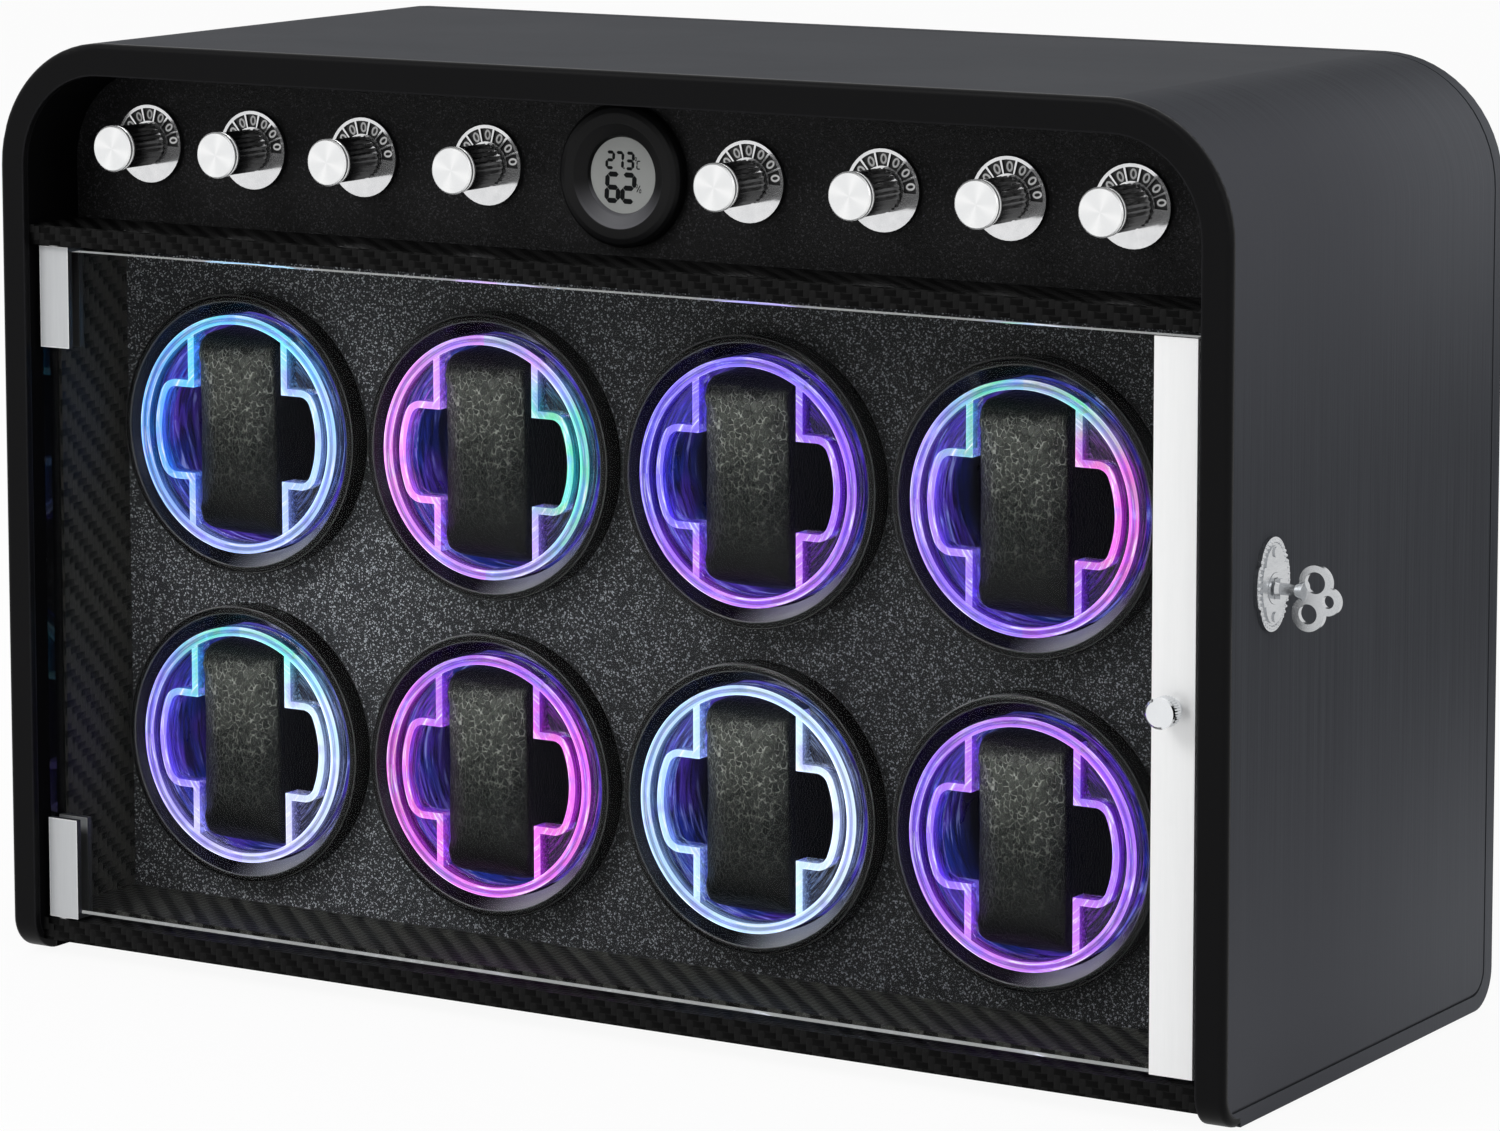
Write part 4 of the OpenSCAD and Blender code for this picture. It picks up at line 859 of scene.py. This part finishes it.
def block(size, cuts, ends, rounding):
    """A box round the origin, with broad roundings at its upper and lower ends, small ones elsewhere."""
    mesh = bpy.data.meshes.new("cushion_block")
    work = bmesh.new()
    bmesh.ops.create_cube(work, size=1)
    bmesh.ops.scale(work, vec=size, verts=work.verts)
    for offset, along_x in ((ends, True), (rounding, False)):
        edges = [e for e in work.edges
                 if (abs(e.verts[0].co.x - e.verts[1].co.x) > size[0] * 0.9) == along_x
                 and (along_x or e.calc_face_angle(0) > 1.2)]
        bmesh.ops.bevel(work, geom=edges, offset=offset, segments=cuts, affect="EDGES", profile=0.5)
    work.to_mesh(mesh)
    work.free()
    return mesh


start_size = [(s - d * MM) * GROWN for s, d in zip(cushion_size, SLACK_MM)]
pad = link_new("cushion_pad", block(start_size, cuts=4, ends=0.075, rounding=FACET))
remesh = pad.modifiers.new("even_faces", "REMESH")
remesh.mode = "VOXEL"
remesh.voxel_size = FACET
bpy.context.view_layer.update()
shot = pad.evaluated_get(bpy.context.evaluated_depsgraph_get())
even = bpy.data.meshes.new_from_object(shot)
pad.modifiers.clear()
pad.data = even
print("block:", len(even.vertices), "points")

# %% [markdown]
# Pressure from the inside pushes the cloth out while its stiffness holds it together. Nothing pulls it
# down, because gravity is off. Twenty steps are enough for it to settle. The swelling is held to
# 2 mm at true size, and sideways to a tenth, since the sleeve's flanks stay straight.

# %% Inflate it
STEPS, LARGEST, SIDEWAYS = 20, 0.020, 0.1
before = [v.co.copy() for v in pad.data.vertices]
cloth = pad.modifiers.new("leather", "CLOTH")
cloth.settings.quality = 5
cloth.settings.mass = 0.3
cloth.settings.tension_stiffness = 25
cloth.settings.compression_stiffness = 25
cloth.settings.bending_stiffness = 2
cloth.settings.use_pressure = True
cloth.settings.uniform_pressure_force = 2.6
cloth.settings.effector_weights.gravity = 0
scene = bpy.context.scene
for step in range(1, STEPS + 1):
    scene.frame_set(step)
shot = pad.evaluated_get(bpy.context.evaluated_depsgraph_get())
after = [v.co.copy() for v in shot.data.vertices]
pad.modifiers.clear()
for vertex, a, b in zip(pad.data.vertices, before, after):
    way = b - a
    way.x *= SIDEWAYS
    vertex.co = a + (way if way.length <= LARGEST else way.normalized() * LARGEST)
scene.frame_set(1)
moved = max((b - a).length for a, b in zip(before, after))
print("leather moved up to %.1f mm at full scale" % (moved / GROWN / MM))

# %% [markdown]
# The inflated form is shrunk to the size of its solid and drawn out 5.5 mm at the front, where the stuffed
# leather stands proud. The leather is smooth at its ends and sides and painted near black there as
# painted shade. Towards the top it is painted paler as painted light, and its raised wrinkles in the
# middle carry painted highlights.

# %% Fit the form and finish the leather
CROWN, MARGIN = 0.0055, 0.0006
for vertex in pad.data.vertices:
    vertex.co /= GROWN
low = Vector([min(v.co[i] for v in pad.data.vertices) for i in range(3)])
high = Vector([max(v.co[i] for v in pad.data.vertices) for i in range(3)])
for vertex in pad.data.vertices:
    for i in range(3):
        share = (vertex.co[i] - low[i]) / (high[i] - low[i])
        vertex.co[i] = (share - 0.5) * (cushion_size[i] - MARGIN)
        if i == 1:
            vertex.co.y -= CROWN * (1 - share)
for polygon in pad.data.polygons:
    polygon.use_smooth = True

tree, shader = finish("cushion", Specular_IOR_Level=0.1)
place, turn = axes_of(tree), axes_of(tree, "Normal")
# middle is one on the middle of the front; the ends and the sides are painted near black there as painted
# shade.
middle = times(tree, span(tree, place[2], -0.028, -0.010), span(tree, place[2], 0.033, 0.025),
               span(tree, calc(tree, "ABSOLUTE", turn[0]), 0.75, 0.35))
hide = use(tree, pebbles, Size=1.9, Bend=1.1, Stretch=(1.0, 1.0, 0.8))
# Painted highlights on the wrinkles' ridges in the middle, paler towards the top.
ridge_highlight = times(tree, span(tree, hide["Crease"], 0.45, 0.98),
              span(tree, speckle(tree, 0.45), 0.38, 0.62), middle)
# Painted light: the leather is painted paler towards the top.
painted_crest_light = span(tree, place[2], -0.010, 0.026)
leather = tint(tree, hide["Tone"], "#101212", "#202221")
leather = tint(tree, painted_crest_light, leather, tint(tree, hide["Tone"], "#2e302e", "#474945"))
leather = tint(tree, middle, "#060708", leather)
ridge_highlight_colour = tint(tree, painted_crest_light, "#464844", "#9a9c95")
cover(tree, shader, tint(tree, ridge_highlight, leather, ridge_highlight_colour))
roughen(tree, shader, hide["Crease"], 0.2, 0.3)
fold = times(tree, hide["Height"], sloped(tree, middle, 0.8, 0.2))
emboss(tree, shader, fold, 0.0005, 1.0)
print("cushion depth in mm:", round(1000 * (max(v.co.y for v in pad.data.vertices)
                                            - min(v.co.y for v in pad.data.vertices)), 1))

# %% [markdown]
# Each rotor gets its own copy, in the middle of the solid that it takes the place of. It turns with that
# rotor, and clears the cup and the ring.

# %% Place the cushions
cushions = []
for number in range(1, 9):
    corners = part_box("cushion_%d" % number)
    piece = link_new("leather_cushion_%d" % number, pad.data.copy())
    piece.location = centre(corners)
    piece.data.materials.clear()
    piece.data.materials.append(finishes["cushion"])
    smooth = piece.modifiers.new("smooth", "SUBSURF")
    smooth.levels = smooth.render_levels = 1
    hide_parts("cushion_%d" % number)
    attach(piece, "rotor_%d" % number)
    cushions.append(piece)
bpy.data.objects.remove(pad)
print("cushions:", len(cushions), "with", len(cushions[0].data.vertices), "points each")

# %% [markdown]
# ## Screen digits
# The climate meter shows temperature over humidity in seven-segment figures. Each segment is a thin
# six-sided bar. A table says which of the seven bars each figure lights.

# %% Bars and figures
SEGMENTS = {"0": "abcdef", "2": "abged", "3": "abgcd", "6": "afgedc", "7": "abc", "C": "afed"}
BARS = {"a": ((0, 2), (1, 2)), "b": ((1, 1), (1, 2)), "c": ((1, 0), (1, 1)), "d": ((0, 0), (1, 0)),
        "e": ((0, 0), (0, 1)), "f": ((0, 1), (0, 2)), "g": ((0, 1), (1, 1))}
THICK, GAP, WIDTH, SLANT = 0.00008, 0.1, 0.5, 0.03
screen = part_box("hygrometer_screen")
screen_z = centre(screen)[2]
screen_y = screen[0][1] - 0.00006


def bar(work, start, end, half):
    """One six-sided bar, in millimetres from the middle of the screen, between two points."""
    start, end = [Vector((x * MM, screen_z + z * MM)) for x, z in (start, end)]
    half *= MM
    way = (end - start).normalized()
    side = Vector((-way.y, way.x)) * half
    gap = way * half * GAP
    outline = [start + gap, start + way * half + side + gap, end - way * half + side - gap, end - gap,
               end - way * half - side - gap, start + way * half - side + gap]
    front = [work.verts.new((p.x, screen_y, p.y)) for p in outline]
    back = [work.verts.new((p.x, screen_y + THICK, p.y)) for p in outline]
    work.faces.new(front[::-1])
    work.faces.new(back)
    for i in range(6):
        work.faces.new((front[i], front[(i + 1) % 6], back[(i + 1) % 6], back[i]))


def figure(work, sign, x, z, tall, half):
    """A seven-segment figure with its lower left corner at x, z."""
    for key in SEGMENTS[sign]:
        ends = [(x + p[0] * tall * WIDTH + p[1] * tall * SLANT, z + p[1] * tall / 2) for p in BARS[key]]
        bar(work, *ends, half)


print("screen middle at", round(screen_z, 4), "signs:", "".join(SEGMENTS))

# %% [markdown]
# The readings are typed as a table: the sign, the place of its lower left corner, its height and half the
# width of its bars, in millimetres. Two single bars make the decimal point and the stroke of the
# percent sign, and small noughts make the degree sign and the percent sign's two dots.

# %% Build the screen digits
work = bmesh.new()
for row in (("2", -6.5, 2.3, 5.2, 0.54), ("7", -2.9, 2.3, 5.2, 0.54), ("3", 1.2, 2.3, 5.2, 0.54),
            ("C", 5.4, 2.4, 2.6, 0.22), ("6", -6.6, -8.6, 8.8, 0.86), ("2", -0.4, -8.6, 8.8, 0.86)):
    figure(work, *row)
bar(work, (0.35, 2.0), (0.35, 2.8), 0.35)
bar(work, (5.3, -5.4), (6.7, -3.0), 0.16)
for x, z in ((5.3, -3.4), (6.7, -5.0), (5.0, 5.6)):
    figure(work, "0", x - 0.3, z - 0.5, 1.1, 0.12)
tree, shader = finish("ink", Specular_IOR_Level=0.04)
blot = use(tree, marks, Gloss=0.5, Spread=0.5, Size=2.0)["Roughness"]
cover(tree, shader, tint(tree, blot, "#0b0c0d", "#17191a"))
smudge(tree, shader, 0.4, 0.1, 4.0)
figures = printed("screen_figures", work, "ink")
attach(figures, "cabinet")
print("screen figures:", len(figures.data.polygons), "faces")

# %% [markdown]
# ## Stage and light
# A pale floor, a white surround and broad soft lamps are all that a catalogue view needs. The floor and
# the surround look white to the camera and in reflections, but they light the object only at a plain
# level.

# %% Floor
HALF_FLOOR = 6


def seen_directly(tree):
    """One for rays from the camera, from a reflection or through glass, zero for diffuse light."""
    path = add(tree, "LightPath").outputs
    bent = calc(tree, "MAXIMUM", path["Is Glossy Ray"], path["Is Transmission Ray"])
    return calc(tree, "MAXIMUM", path["Is Camera Ray"], bent)


floor_mesh = bpy.data.meshes.new("floor")
corners = [(x * HALF_FLOOR, y * HALF_FLOOR, 0) for x, y in ((-1, -1), (1, -1), (1, 1), (-1, 1))]
floor_mesh.from_pydata(corners, [], [(0, 1, 2, 3)])
floor = link_new("floor", floor_mesh)
material, tree, shader = new_material("floor", Roughness=0.8, Base_Color=(0.86, 0.86, 0.86, 1))
white = add(tree, "Emission", {"Color": "#ffffff", "Strength": 1.0})
show_instead(tree, times(tree, seen_directly(tree), 0.93), white)
floor_mesh.materials.append(material)
print("floor:", 2 * HALF_FLOOR, "m wide")

# %% [markdown]
# The surround is brighter to the camera than to the object, in the same way. Three rectangular lamps do
# the modelling: a key lamp at the upper left front, a weaker one at the right, and a soft one above.

# %% World and lamps
world = bpy.data.worlds.new("surround")
world.use_nodes = True
bpy.context.scene.world = world
tree = world.node_tree
background = find(tree, "BACKGROUND").inputs
put(tree, background["Color"], "#ffffff")
put(tree, background["Strength"], sloped(tree, seen_directly(tree), 0.45, 0.55))

# Each lamp has a name, a place, a target, a width and height, and a power in watts.
for name, place, target, extent, watts in (
        ("key", (-0.9, -1.9, 1.7), (0, 0, 0.15), (1.3, 1.0), 26),
        ("side", (2.2, -0.4, 1.0), (0.2, 0, 0.15), (1.0, 1.4), 12),
        ("top", (0.0, 0.3, 2.2), (0, 0, 0.3), (1.6, 1.2), 7)):
    data = bpy.data.lights.new(name, "AREA")
    data.shape = "RECTANGLE"
    data.size, data.size_y = extent
    data.energy = watts
    lamp = link_new(name, data)
    lamp.location = place
    lamp.rotation_euler = (Vector(target) - Vector(place)).to_track_quat("-Z", "Y").to_euler()
print("lamps:", len(bpy.data.lights))
